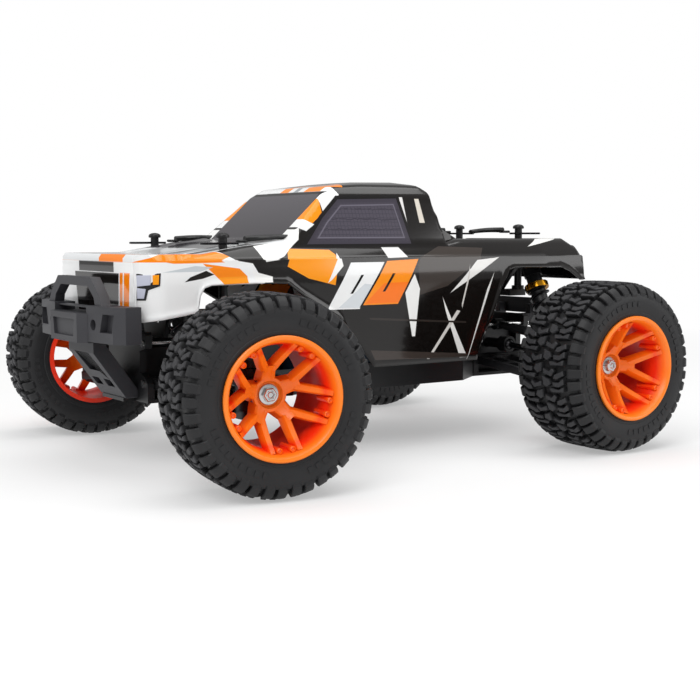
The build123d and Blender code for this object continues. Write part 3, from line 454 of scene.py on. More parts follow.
SIDE_PATCHES = (
    Patch([(31.4, 141), (58, 150.5), (100, 149), (92, 141), (58, 121), (32, 115)], "3A332F"),
    Patch([(-86, 153.5), (-61.4, 164), (-64, 155.8), (-80.5, 144.5), (-87, 142.3)], "F4F4F2"),
    Patch([(-101, 151.5), (-86, 153.5), (-86, 142.3), (-97, 141)], "F4F4F2"),
    Patch([(-76.5, 146.8), (-69.7, 148.9), (-61.4, 164), (-55, 162), (-66, 150), (-73, 148)],
          "FF9408"),
    Patch([(-67.8, 171.5), (-47.2, 188), (-39.5, 186), (-39.5, 174), (-55.2, 163.5)], "FF9408"),
    Patch([(-68.5, 171), (-59, 171.6), (-48, 166.5), (-56, 161.8), (-61.3, 163.8)], "F1F2F2"),
    Patch([(-81.4, 135.5), (-76.5, 146.8), (-73.5, 149.6), (-41.3, 148.6), (-38, 145.3),
           (-42.5, 122), (-44.5, 119), (-64.2, 129.2), (-80.4, 133)], "FF9A0A"),
    # Painted highlight: a pale patch where the roof's side meets the top of the front pillar and
    # catches the light.
    Patch([(-40, 188), (-36, 194), (-24, 194), (-21, 188), (-38, 174)], "F1F2F2"),
    Patch([(31.5, 152), (33.5, 152), (35.5, 187), (32.5, 187)], "E4E2E0"),
    Patch([(46, 168), (51, 168), (50.5, 186), (46.5, 186)], "D9D2C6"),
    Patch([(-36.4, 146.5), (-34.0, 134.7), (-44.8, 127.9), (-49.5, 123.6)], "F4F4F2"),
    Patch([(4.5, 151.8), (19.2, 151.9), (24.5, 142.8), (6.4, 142.4)], "E9E9E8"),
    Patch([(27.6, 130.6), (32.3, 119.6), (27.9, 84.8), (25.2, 84.9), (18.8, 117.5)], "F1F1EF"),
    Patch([(61.2, 115.9), (88.2, 139.9), (110.3, 141.8), (95.9, 134)], "EDECE9"),
    Patch([(48.9, 121.9), (56.8, 101.7), (66.7, 66.5), (77.6, 66.6)], "EDECE9"),
    Patch([(67.5, 102.7), (70.6, 101.9), (41.5, 67.2), (39.1, 67.4)], "D8D4CF"),
    Patch([(80.6, 136.2), (79.4, 127), (72.5, 104), (72.0, 107)], "D8D4CF"),
    Patch([(105.5, 133.1), (97.0, 117.8), (77.5, 65.1), (79.6, 65.1), (99.3, 117.8)], "EDECE9"),
    Patch([(-12, 76.5), (77, 69.5), (77.8, 66.6), (-8, 69.2)], "3C3430"),
    Patch([(-13, 100), (76, 94), (76.5, 92.6), (-12, 98.4)], "2F2926"),
    Patch([(147.4, 149.6), (161.7, 155.6), (191.2, 157), (180.6, 154.8)], "F0EFEC"),
    Patch([(-27.9, 139.6), (1.6, 139.6), (-21.6, 106.6), (-48.8, 107)], "F3F4F4", 1.6),
    Patch([(-17, 124.5), (-9.6, 123.6), (-21.6, 107.4), (-40, 107.6)], "D9DEE2"),
    Patch([(3.8, 140.3), (32.2, 141.4), (12.2, 109.2), (-18.6, 109.2)], "FF9208", 1.6),
    Patch([(0, 124.5), (22, 125), (12.6, 110.0), (-17.2, 110)], "FF7A12"),
    Patch([(-19.9, 130.8), (-17.5, 130.8), (-27.2, 117.6), (-29.6, 117.6)], "0E0B0A"),
    Patch([(7.9, 131.4), (10.3, 131.4), (0.9, 118.4), (-1.5, 118.4)], "0E0B0A"),
)

FENDER_PATCHES = (
    Patch([(-200, 146), (-160, 150), (-125, 149), (-108, 141), (-100, 127), (-200, 90)], "F2F3F3"),
    Patch([(-193, 140.2), (-143, 143.9), (-131, 142.1), (-118, 136.9), (-112.4, 131.6),
           (-164, 140.6)], "FF8A08"),
    Patch([(-188, 141.5), (-168, 147.5), (-134, 149), (-122, 145), (-131, 142.1),
           (-160, 141.6)], "FF8A08"),
    Patch([(-145, 140.5), (-118, 136.9), (-112.4, 131.6), (-132.4, 128.6)], "FF8A08"),
    Patch([(-134.5, 131.2), (-112.6, 131.8), (-112.4, 127), (-131, 126.5)], "FF9A16"),
    Patch([(-165, 151), (-148, 146.6), (-118, 141.8), (-104, 134), (-88, 127), (-96, 146),
           (-128, 153)], "15110F"),
    Patch([(-108.5, 135.0), (-92.9, 131.0), (-93.6, 127.2), (-106.0, 127.2)], "F4F4F2"),
    Patch([(-160.9, 126.2), (-153.9, 131.8), (-143.1, 135.9), (-135.5, 132.4), (-146, 130.6)],
          "15110F"),
    Patch([(-172, 135.0), (-150, 139.0), (-138, 138.0), (-147, 135.3)], "C9CFD3"),
)

HOOD_PATCHES = (
    Patch([(-60, -192), (60, -192), (70, -60), (-70, -60)], "E4E6E7"),
    Patch([(14, -152), (42, -132), (50, -96), (36, -104)], "15110F"),
    Patch([(20, -120), (34, -112), (30, -84), (14, -92)], "B9BDC0"),
    Patch([(2, -160), (16, -146), (20, -110), (8, -126)], "C9CDCF"),
    Patch([(24, -174), (48, -158), (56, -118), (50, -122)], "9FA3A6"),
    Patch([(30, -86), (56, -94), (60, -72), (34, -70)], "F4F4F2"),
    Patch([(6, -189), (44, -190), (50, -172), (2, -174)], "FF8608"),
    Patch([(2, -174.5), (50, -172.5), (51, -169), (1, -171)], "F4F4F2"),
    Patch([(50, -166), (56, -164), (62, -96), (57, -98)], "15110F"),
)

ROOF_PATCHES = (
    Patch([(-40, -42), (40, -42), (40, -24), (-40, -20)], "ECEDED"),
    Patch([(20, -40), (44, -40), (46, -14), (30, -8)], "FF8E0A"),
    Patch([(6, -40), (12, -40), (20, -12), (14, -8)], "9A9EA2"),
    Patch([(-14, -40), (-2, -40), (6, -16), (-4, -12)], "FF8E0A"),
)

NOSE_PATCHES = (
    Patch([(-62, 100), (62, 100), (62, 140), (-62, 140)], "F2F3F3"),
    Patch([(-34, 103), (34, 103), (38, 134), (-38, 134)], "15110F"),
    Patch([(36, 101), (50, 101), (56, 138), (40, 138)], "FF8608"),
    Patch([(40, 101), (42, 101), (47, 138), (45, 138)], "F4F4F2"),
)


@dataclass(frozen=True)
class ShellPaint:
    """The clear shell, painted from behind: panels, stripes and smoked windows under gloss."""

    name: str = "shell_paint"
    ground: str = "0E0B0A"
    belt: float = 0.150
    roof: float = 0.1905
    glass_top: float = 0.1885
    cowl: float = -0.0735
    door_front: float = -0.092
    nose: float = -0.1845

    def laid(self, s: Shader, colour: Wire, patches: Iterable[Patch], across: Wire, up: Wire,
             zone: Wire) -> Wire:
        """Lay painted areas over a colour.

        Args:
            s: The shader.
            colour: What is under them.
            patches: The areas, lowest first.
            across: First coordinate of their outlines.
            up: Second coordinate of their outlines.
            zone: Where they may show.

        Returns:
            The colour with them on it.
        """
        for patch in patches:
            depth = s.outline(across, up, patch.corners)
            if patch.border:
                edge = (depth + patch.border * MM).above(0.0, 0.00025)
                colour = s.mix(edge * zone, colour, tint(patch.border_colour))
            colour = s.mix(depth.above(0.0, 0.00025) * zone, colour, tint(patch.colour))
        return colour

    def glass(self, s: Shader, colour: Wire, across: Wire, up: Wire, corners: Sequence[Flat],
              zone: Wire, comb: Wire) -> Wire:
        """Lay one smoked window with a dark frame and a printed mesh.

        Args:
            s: The shader.
            colour: What is around it.
            across: First coordinate of the outline.
            up: Second coordinate.
            corners: The window's outline.
            zone: Where it may show.
            comb: The mesh print, 0 to 1.

        Returns:
            The colour with the window in it.
        """
        depth = s.outline(across, up, corners)
        framed = s.mix((depth + 0.0028).above(0.0, 0.0003) * zone, colour, tint("120F10"))
        pane = s.mix(comb * depth.above(0.004, 0.006), tint("3B3741"), tint("4C4853"))
        line = (abs(depth - 0.0045)).above(0.0005, 0.0003)
        pane = s.mix(line, tint("66626E"), pane)
        return s.mix(depth.above(0.0, 0.0003) * zone, framed, pane)

    def make(self) -> bpy.types.Material:
        """The finish as a material."""
        s = Shader.named(self.name)
        x, y, z = s.axes(s.place())
        side = abs(x)
        shade = s.noise(14.0, 2.0)
        colour = s.mix(shade.above(0.5, 0.6), tint(self.ground), tint("15110F"))
        always = side.above(0.030, 0.0005)
        ahead = 1 - y.above(self.door_front, 0.0006)
        colour = self.laid(s, colour, FENDER_PATCHES, y, z, always * ahead)
        colour = self.laid(s, colour, SIDE_PATCHES, y, z, always)
        top = z.above(0.1442, 0.0008) * (1 - side.above(0.0640, 0.0008))
        on_hood = top * (1 - y.above(self.cowl, 0.0005)) * y.above(-0.1880, 0.001)
        low_hood = (z + y * 0.155).above(0.1125, 0.0008)
        hood_zone = low_hood * (1 - side.above(0.0625, 0.0006)) * (1 - y.above(self.cowl, 0.0005))
        colour = self.laid(s, colour, HOOD_PATCHES, x, y, hood_zone.most(on_hood))
        nose = 1 - y.above(self.nose, 0.0006)
        colour = self.laid(s, colour, NOSE_PATCHES, x, z, nose * (1 - z.above(0.1345, 0.0005)))
        roof = z.above(self.roof, 0.0008)
        colour = self.laid(s, colour, ROOF_PATCHES, x, y, roof)
        comb = s.node("ShaderNodeTexVoronoi", {"feature": "DISTANCE_TO_EDGE"},
                      {"Vector": s.place(), "Scale": 330.0, "Randomness": 0.15})
        web = comb.above(0.06, 0.04)
        cab = z.above(self.belt, 0.0006)
        panes = [(-62.5, 152.6), (-40, 171), (-27, 184.5), (29.5, 186), (33.5, 152.6)]
        colour = self.glass(s, colour, y, z, panes, always * cab * side.above(0.040, 0.001), web)
        shield = cab * (1 - side.above(0.0500, 0.0005)) * (1 - y.above(-0.030, 0.001))
        slope = side + (z - 0.152) * 0.22
        front = shield * (1 - slope.above(0.0560, 0.0005)) * (1 - z.above(self.glass_top, 0.0005))
        edge_zone = shield * (1 - slope.above(0.0590, 0.0005)) * (1 - z.above(self.roof, 0.0005))
        colour = s.mix(edge_zone, colour, tint("120F10"))
        sheen = z.above(0.171, 0.03)
        colour = s.mix(front, colour, s.mix(sheen, tint("39363A"), tint("4E4B50")))
        rough = shade * 0.04 + 0.10
        return s.finish(Base_Color=colour, Roughness=rough, Specular_IOR_Level=0.32,
                        Normal=s.bump(s.noise(22.0, 1.0), 0.0012, 0.12),
                        Coat_Weight=0.2, Coat_Roughness=0.04)


class Finish(Enum):
    """The finishes that pieces may ask for by name."""

    TYRE = TyreRubber()
    RIM = RimPlastic()
    PAINT = ShellPaint()
    BUMPER = MouldedPlastic("bumper_plastic", "303034", "3B3B3F", 0.52)
    NYLON = MouldedPlastic("suspension_plastic", "141416", "1E1E20", 0.42)
    GEAR = MouldedPlastic("gear_plastic", "1B1B1E", "27272A", 0.40)
    CASE = MouldedPlastic("electronics_case", "1A1B20", "26272E", 0.35)
    WRAP = MouldedPlastic("battery_wrap", "22303F", "2C3D50", 0.22)
    RUBBER_TAB = MouldedPlastic("tab_rubber", "0E0E0F", "1A1A1B", 0.38)
    PRINT = MouldedPlastic("lamp_print", "C9CCDA", "B4B7C8", 0.12)
    AMBER = MouldedPlastic("amber_print", "FFA20C", "F59206", 0.12)
    STEEL = Metal("bright_steel", "D9D9D8", "A9A9AA", 0.22)
    DARK_STEEL = Metal("dark_steel", "5A5A5C", "39393B", 0.35)
    SPRING = Metal("spring_steel", "2A2A2C", "1B1B1D", 0.33)
    GOLD = Metal("gold_collar", "E0A22C", "B67A14", 0.22)
    CAN = Metal("motor_can", "8C8C90", "5F5F63", 0.30)
    WIRE = Metal("clip_wire", "2B2B2D", "161617", 0.25)

    def material(self) -> bpy.types.Material:
        """The finish's material, made once."""
        found = bpy.data.materials.get(FINISH_PREFIX + self.value.name)
        return found or self.value.make()


# ---------------------------------------------------------------- mesh toolkit
class Form:
    """A mesh under construction, in millimetres."""

    def __init__(self) -> None:
        """Start with nothing."""
        self.points: list[Point] = []
        self.faces: list[tuple[int, ...]] = []

    def add(self, points: Iterable[Sequence[float]], faces: Iterable[Sequence[int]]) -> None:
        """Add points and the faces between them.

        Args:
            points: The new points.
            faces: Their faces, numbered from the first new point.
        """
        start = len(self.points)
        self.points += [tuple(point) for point in points]
        self.faces += [tuple(start + index for index in face) for face in faces]

    def rings(self, rings: Sequence[Sequence[Sequence[float]]], closed: bool = True,
              capped: bool = True, looped: bool = False) -> None:
        """Skin a row of rings.

        Args:
            rings: Rings with the same number of points.
            closed: Whether each ring joins its own ends.
            capped: Whether the first and last rings are filled.
            looped: Whether the last ring joins the first.
        """
        count = len(rings[0])
        faces: list[Sequence[int]] = []
        last = len(rings) if looped else len(rings) - 1
        for row in range(last):
            following = (row + 1) % len(rings)
            for column in range(count if closed else count - 1):
                right = (column + 1) % count
                faces.append((row * count + column, row * count + right,
                              following * count + right, following * count + column))
        if capped and not looped:
            faces.append(tuple(reversed(range(count))))
            faces.append(tuple((len(rings) - 1) * count + i for i in range(count)))
        self.add([point for ring in rings for point in ring], faces)

    def turned(self, profile: Sequence[Flat], steps: int) -> None:
        """Turn a closed profile about the x axis.

        Args:
            profile: (along axle, radius) points.
            steps: Facets round.
        """
        rings = []
        for step in range(steps):
            angle = 2 * math.pi * step / steps
            rings.append([(x, r * math.cos(angle), r * math.sin(angle)) for x, r in profile])
        self.rings(rings, looped=True)

    def tube(self, route: Sequence[Point], radius: float, sides: int = 12) -> None:
        """A round bar along a route.

        Args:
            route: Its middle line.
            radius: Its radius.
            sides: Facets round.
        """
        line = [Vector(point) for point in route]
        normal = Vector((0.31, 0.2, 0.93))
        rings = []
        for index, point in enumerate(line):
            before, after = line[max(index - 1, 0)], line[min(index + 1, len(line) - 1)]
            forward = (after - before).normalized()
            normal = (normal - forward * normal.dot(forward)).normalized()
            side = forward.cross(normal)
            ring = []
            for step in range(sides):
                angle = 2 * math.pi * step / sides
                ring.append(point + (normal * math.cos(angle) + side * math.sin(angle)) * radius)
            rings.append(ring)
        self.rings(rings)

    def object(self, name: str, finish: Finish, smooth: float | None = 35.0,
               place: Matrix | None = None) -> bpy.types.Object:
        """Make the Blender object.

        Args:
            name: The piece's name.
            finish: Its finish.
            smooth: Edges sharper than this many degrees stay sharp; None shades flat.
            place: Where it stands, or None for the frame itself.

        Returns:
            The object.
        """
        mesh = bpy.data.meshes.new(name)
        scaled = [(x * MM, y * MM, z * MM) for x, y, z in self.points]
        mesh.from_pydata(scaled, [], self.faces)
        tidy = bmesh.new()
        tidy.from_mesh(mesh)
        bmesh.ops.remove_doubles(tidy, verts=tidy.verts, dist=1e-6)
        bmesh.ops.recalc_face_normals(tidy, faces=tidy.faces)
        tidy.to_mesh(mesh)
        tidy.free()
        return dressed(mesh, name, finish, smooth, place)


def circle(x: float, radius: float, sides: int, centre: Flat = (0.0, 0.0)) -> list[Point]:
    """Points round a line that runs along x.

    Args:
        x: Where they stand along it.
        radius: Their distance from it.
        sides: How many there are.
        centre: Where the line crosses y and z.

    Returns:
        The ring.
    """
    angles = [2 * math.pi * i / sides for i in range(sides)]
    return [(x, centre[0] + radius * math.cos(a), centre[1] + radius * math.sin(a))
            for a in angles]


def dressed(mesh: bpy.types.Mesh, name: str, finish: Finish, smooth: float | None,
            place: Matrix | None = None) -> bpy.types.Object:
    """Link a mesh as a piece with its finish and shading.

    Args:
        mesh: The mesh.
        name: The piece's name.
        finish: Its finish.
        smooth: Edges sharper than this many degrees stay sharp; None shades flat.
        place: Where it stands, or None for the frame itself.

    Returns:
        The object.
    """
    if smooth is not None:
        mesh.shade_smooth()
        mesh.set_sharp_from_angle(angle=math.radians(smooth))
    mesh.materials.clear()
    mesh.materials.append(finish.material())
    made = bpy.data.objects.new(name, mesh)
    bpy.context.scene.collection.objects.link(made)
    if place is not None:
        made.matrix_world = place
    LOG.info("piece %s in %s", name, finish.name)
    return made


def softened(node: str, finish: Finish, width: float, body: str) -> bpy.types.Object:
    """Stand a piece with rounded edges in for a sharp-edged CAD node.

    Args:
        node: The CAD node.
        finish: The piece's finish.
        width: How far its edges are rounded, in millimetres.
        body: The body that it rides on.

    Returns:
        The piece.
    """
    mesh = frame["nodes"][node].data.copy()
    work = bmesh.new()
    work.from_mesh(mesh)
    bmesh.ops.remove_doubles(work, verts=work.verts, dist=2e-5)
    bmesh.ops.dissolve_limit(work, angle_limit=math.radians(1.5), verts=work.verts,
                             edges=work.edges)
    work.to_mesh(mesh)
    work.free()
    piece = dressed(mesh, node + "_moulded", finish, 40.0)
    bevel = piece.modifiers.new("edges", "BEVEL")
    bevel.width = width * MM
    bevel.segments = 2
    bevel.limit_method = "ANGLE"
    bevel.angle_limit = math.radians(35)
    bevel.harden_normals = True
    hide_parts(node)
    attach(piece, body)
    return piece


# ---------------------------------------------------------------- wheels
@dataclass
class Corner:
    """Where one wheel stands and how it is turned."""

    end: str
    hand: str
    phase: float

    @property
    def key(self) -> str:
        """The corner's name."""
        return f"{self.end}_{self.hand}"

    def place(self) -> Matrix:
        """The wheel's own frame: x out along the axle, z up."""
        axis = Vector(joint(f"{self.key}_wheel_spin")["axis"])
        if axis.x * (1 if self.hand == "left" else -1) < 0:
            axis = -axis
        up = Vector((0, 0, 1))
        along = up.cross(axis).normalized()
        turn = Matrix((axis, along, up)).transposed().to_4x4()
        turn.translation = middle(f"{self.key}_tyre") * MM
        return turn @ Matrix.Rotation(math.radians(self.phase), 4, "X")


@dataclass
class Tyre:
    """A soft tyre: a turned carcass with moulded tread lugs."""

    carcass: float = 58.4
    lug: float = 4.1
    pitches: int = 20
    shoulder: float = 22.5
    bead: float = 35.1
    half_width: float = 31.0

    def skin(self, s: float) -> tuple[float, float, float, float]:
        """A point of the tread's line, by its run from the middle.

        Args:
            s: The run from the middle plane, in millimetres.

        Returns:
            Along axle, radius, and the outward direction's two parts.
        """
        side = 1 if s >= 0 else -1
        run = abs(s)
        bend = 9.0
        if run <= self.shoulder:
            drop = 0.0011 * run * run
            return side * run, self.carcass - drop, 0.0, 1.0
        angle = min((run - self.shoulder) / bend, math.radians(82))
        start = self.carcass - 0.0011 * self.shoulder ** 2
        x = self.shoulder + bend * math.sin(angle) * 0.71
        r = start - bend * (1 - math.cos(angle))
        return side * x, r, side * math.sin(angle), math.cos(angle)

    def point(self, s: float, v: float, height: float) -> Point:
        """A point over the tread.

        Args:
            s: Run from the middle plane.
            v: Run round the tread.
            height: Height over the carcass.

        Returns:
            The point.
        """
        x, r, nx, nr = self.skin(s)
        reach, angle = r + nr * height, v / self.carcass
        return (x + nx * height, reach * math.cos(angle), reach * math.sin(angle))

    def block(self, form: Form, outline: Sequence[Flat], height: float) -> None:
        """One lug from its outline, with drafted sides and an eased top.

        Args:
            form: Where it is added.
            outline: (across, round) corners.
            height: Its height.
        """
        cs = sum(p[0] for p in outline) / len(outline)
        cv = sum(p[1] for p in outline) / len(outline)
        rings = []
        for level, share in ((-0.4, 1.06), (height - 0.7, 1.0), (height, 0.86)):
            rings.append([self.point(cs + (s - cs) * share, cv + (v - cv) * share, level)
                          for s, v in outline])
        form.rings(rings)

    def strip(self, form: Form, s0: float, s1: float, v0: float, v1: float, height: float) -> None:
        """One shoulder lug that wraps over the tyre's edge.

        Args:
            form: Where it is added.
            s0: Where it begins across.
            s1: Where it ends across.
            v0: Where it begins round.
            v1: Where it ends round.
            height: Its height.
        """
        rings = []
        steps = 6
        for step in range(steps + 1):
            share = step / steps
            s = s0 + (s1 - s0) * share
            end = 0.55 if step in (0, steps) else 1.0
            ring = []
            for v, level in ((v0 - 0.3, -0.4), (v0, height * end - 0.6), (v0 + 0.6, height * end),
                             (v1 - 0.6, height * end), (v1, height * end - 0.6), (v1 + 0.3, -0.4)):
                ring.append(self.point(s, v, level))
            rings.append(ring)
        form.rings(rings)

    def mesh(self, name: str) -> bpy.types.Mesh:
        """The whole tyre in its wheel's frame.

        Args:
            name: The mesh's name.

        Returns:
            The mesh.
        """
        form = Form()
        half, bead = self.half_width, self.bead
        outer = [(28.6, bead), (29.4, bead + 2.6), (29.9, bead + 3.0), (30.3, bead + 5.4),
                 (30.0, bead + 5.9), (half - 0.2, bead + 9), (half, bead + 13),
                 (half - 0.1, bead + 16.5), (half - 0.5, bead + 17.2), (half - 1.1, bead + 19)]
        tread = [self.skin(s)[:2] for s in (30.5, 28, 26, 24, self.shoulder, 15, 7.5, 0)]
        right = outer + tread
        inner = [(24, bead), (24, bead + 5), (half - 4, bead + 12), (half - 6, self.carcass - 4)]
        profile = right + [(-x, r) for x, r in reversed(right[:-1])]
        profile += [(-x, r) for x, r in inner] + list(reversed(inner))
        form.turned(profile, steps=120)
        pitch = 2 * math.pi * self.carcass / self.pitches
        middle_lugs = (
            [(1.2, 1.5), (7.5, 3.6), (10.6, 1.2), (12.2, 3.0), (9.2, 6.8), (1.2, 4.8)],
            [(12.6, 5.4), (20.6, 2.2), (21.4, 5.4), (15.2, 8.6), (11.2, 8.2)],
            [(0.8, 7.2), (6.6, 8.8), (8.4, 12.2), (4.4, 14.8), (0.8, 13.2)],
            [(10.2, 10.8), (16.8, 10.6), (20.8, 7.8), (21.2, 11.8), (16.4, 14.2), (10.8, 13.9)],
            [(6.8, 15.4), (10.2, 15.2), (16.2, 16.0), (20.8, 13.8), (20.2, 17.4), (8.2, 18.2)],
        )
        for turn in range(self.pitches):
            for side in (-1, 1):
                start = (turn + (0.5 if side < 0 else 0.0)) * pitch
                for outline in middle_lugs:
                    placed = [(side * s, start + v * pitch / 19.0) for s, v in outline]
                    self.block(form, placed, self.lug)
                for v0, v1, reach in ((0.6, 7.4, 35.0), (9.8, 16.4, 33.6)):
                    self.strip(form, side * 22.6, side * reach, start + v0 * pitch / 19.0,
                               start + v1 * pitch / 19.0, self.lug * 0.80)
        for side in (-1, 1):
            for turn in range(4):
                self.band(form, side, turn * math.pi / 2 + 0.25, 1.05)
        return form.object(name, Finish.TYRE, 32.0).data

    def band(self, form: Form, side: int, start: float, sweep: float) -> None:
        """A row of plain raised bars on the sidewall.

        Args:
            form: Where it is added.
            side: Which sidewall.
            start: Its first angle.
            sweep: How far round it goes.
        """
        bars = 9
        for bar in range(bars):
            a0 = start + sweep * bar / bars
            a1 = a0 + sweep / bars * 0.62
            low, high = self.bead + 9.6, self.bead + 13.4
            base, top = side * (self.half_width - 0.6), side * (self.half_width + 0.32)
            rings = []
            for x in (base, top):
                rings.append([(x, r * math.cos(a), r * math.sin(a))
                              for r, a in ((low, a0), (low, a1), (high, a1), (high, a0))])
            form.rings(rings)


@dataclass
class Rim:
    """A deep orange rim with five forked spokes."""

    spokes: int = 5
    lip: float = 38.0
    wall: float = 33.0
    edge: float = 32.4
    hub_face: float = 4.6

    def face(self, r: float) -> float:
        """How far out the spokes' front stands at a radius.

        Args:
            r: The radius.

        Returns:
            The place along the axle.
        """
        share = max((r - 9.0) / 24.5, 0.0)
        return self.hub_face + 3.0 + 21.0 * share ** 1.25

    def bar(self, form: Form, start: Flat, end: Flat, widths: tuple[float, float], depth: float,
            turn: float) -> None:
        """One tapered bar of a spoke, with a narrow front and drafted sides.

        Args:
            form: Where it is added.
            start: Its near end (sideways, radius).
            end: Its far end.
            widths: Its front width at both ends.
            depth: How deep it is.
            turn: The spoke's angle.
        """
        rings = []
        steps = 7
        dx, dr = end[0] - start[0], end[1] - start[1]
        length = math.hypot(dx, dr)
        nx, nr = dr / length, -dx / length
        for step in range(steps + 1):
            share = step / steps
            px, pr = start[0] + dx * share, start[1] + dr * share
            half = (widths[0] + (widths[1] - widths[0]) * share) / 2
            front = self.face(math.hypot(px, pr))
            ring = []
            for side, drop in ((1.75, depth), (1.18, 0.9), (0.86, 0.0), (-0.86, 0.0), (-1.18, 0.9),
                               (-1.75, depth)):
                ux, ur = px + nx * half * side, pr + nr * half * side
                y = ux * math.cos(turn) - ur * math.sin(turn)
                z = ux * math.sin(turn) + ur * math.cos(turn)
                ring.append((front - drop, y, z))
            rings.append(ring)
        form.rings(rings)

    def mesh(self, name: str) -> bpy.types.Mesh:
        """The whole rim in its wheel's frame.

        Args:
            name: The mesh's name.

        Returns:
            The mesh.
        """
        form = Form()
        lip, wall, edge = self.lip, self.wall, self.edge
        form.turned([(-29, wall), (-29, lip), (-26.4, lip), (-26.4, 35), (edge - 2.6, 35),
                     (edge - 2.6, lip - 0.3), (edge - 2.2, lip), (edge - 0.7, lip),
                     (edge, lip - 0.7), (edge, lip - 2.0), (edge - 0.6, lip - 2.9),
                     (edge - 2.6, lip - 3.7), (edge - 3.6, wall + 0.6), (edge - 9.0, wall - 0.2),
                     (edge - 10.0, wall - 0.9), (8, wall - 1.3), (6, wall - 0.4), (-8, wall - 0.2)],
                    steps=128)
        hub = self.hub_face
        form.turned([(0.6, 2.6), (0.6, 9.2), (2.6, 10.6), (hub + 2.2, 11.0), (hub + 3.0, 10.4),
                     (hub + 3.0, 8.6), (hub + 2.3, 8.2), (hub + 0.6, 7.8), (hub, 7.2),
                     (hub - 0.1, 2.6)], steps=64)
        for spoke in range(self.spokes):
            turn = 2 * math.pi * spoke / self.spokes
            self.bar(form, (0, 9.0), (0, 18.4), (7.8, 6.2), 8.5, turn)
            for side in (-1, 1):
                self.bar(form, (side * 1.3, 15.2), (side * 11.6, 31.0), (3.9, 3.1), 9.0, turn)
                self.bar(form, (side * 2.7, 9.2), (side * 1.7, 17.0), (1.5, 1.5), 2.4, turn)
                between = turn + math.pi / self.spokes + side * 0.135
                self.boss(form, between)
        return form.object(name, Finish.RIM, 38.0).data

    def boss(self, form: Form, angle: float) -> None:
        """One small round boss on the barrel's wall behind the lip.

        Args:
            form: Where it is added.
            angle: Where it stands round the wheel.
        """
        r, radius, sides = self.wall - 1.4, 1.9, 14
        cy, cz = -r * math.sin(angle), r * math.cos(angle)
        rings = []
        for x, grow in ((10.0, 1.0), (self.edge - 5.2, 1.0), (self.edge - 4.6, 0.72),
                        (self.edge - 5.4, 0.5)):
            rings.append(circle(x, radius * grow, sides, (cy, cz)))
        form.rings(rings)


@dataclass
class HubNut:
    """The wheel nut with its flange and the axle's end."""

    across: float = 4.5
    seat: float = 4.6

    def mesh(self, name: str) -> bpy.types.Mesh:
        """The nut in its wheel's frame.

        Args:
            name: The mesh's name.

        Returns:
            The mesh.
        """
        form = Form()
        seat, reach = self.seat, self.across
        form.turned([(seat, 2.6), (seat, 6.4), (seat + 0.5, 6.6), (seat + 1.1, 6.2),
                     (seat + 1.3, 4.2), (seat + 1.3, 2.6)], steps=48)
        rings = []
        for x, r in ((seat + 1.2, reach), (seat + 4.0, reach), (seat + 4.5, reach - 0.6),
                     (seat + 4.5, 2.9), (seat + 3.9, 2.6)):
            rings.append(circle(x, r, 6))
        form.rings(rings, capped=False)
        form.turned([(0.0, 2.45), (seat + 4.0, 2.45), (seat + 4.9, 1.6), (seat + 4.2, 1.5),
                     (seat + 4.2, 0.01), (0.0, 0.01)], steps=32)
        return form.object(name, Finish.STEEL, 30.0).data


class Wheels:
    """The four wheels, copied from one tyre, one rim and one nut."""

    corners = (Corner("front", "left", 5.0), Corner("front", "right", 20.0),
               Corner("rear", "left", -21.0), Corner("rear", "right", 30.0))

    def build(self) -> None:
        """Make the meshes and stand them on the four axles."""
        parts = (("tyre", Tyre().mesh("tyre_form"), "tyre_rubber"),
                 ("rim", Rim().mesh("rim_form"), "rim_orange"),
                 ("hub_nut", HubNut().mesh("nut_form"), "steel"))
        for _, mesh, _ in parts:
            places = array("f", [0.0]) * (3 * len(mesh.vertices))
            mesh.vertices.foreach_get("co", places)
            kept = mesh.attributes.new(WHEEL_PLACE, "FLOAT_VECTOR", "POINT")
            kept.data.foreach_set("vector", places)
        for corner in self.corners:
            for part, mesh, slot in parts:
                placed = mesh.copy()
                placed.transform(corner.place())
                piece = bpy.data.objects.new(f"{corner.key}_{part}_piece", placed)
                bpy.context.scene.collection.objects.link(piece)
                if part != "hub_nut":
                    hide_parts(f"{corner.key}_{part}")
                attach(piece, f"{corner.key}_wheel")
                LOG.info("wheel piece %s", piece.name)
        for name in ("tyre_form", "rim_form", "nut_form"):
            bpy.data.objects.remove(bpy.data.objects[name])


# ---------------------------------------------------------------- shell
def blend_low(a: float, b: float, soft: float) -> float:
    """The smaller of two heights, rounded where they cross.

    Args:
        a: One height.
        b: The other.
        soft: The width of the rounding.

    Returns:
        The height.
    """
    share = max(soft - abs(a - b), 0.0) / soft
    return min(a, b) - share * share * soft / 4


def along_line(points: Sequence[Flat], at: float) -> float:
    """Read a height off an outline.

    Args:
        points: (place, height) corners in rising order.
        at: Where it is read.

    Returns:
        The height.
    """
    if at <= points[0][0]:
        return points[0][1]
    for (x0, y0), (x1, y1) in zip(points, points[1:]):
        if at <= x1:
            return y0 + (y1 - y0) * (at - x0) / (x1 - x0)
    return points[-1][1]


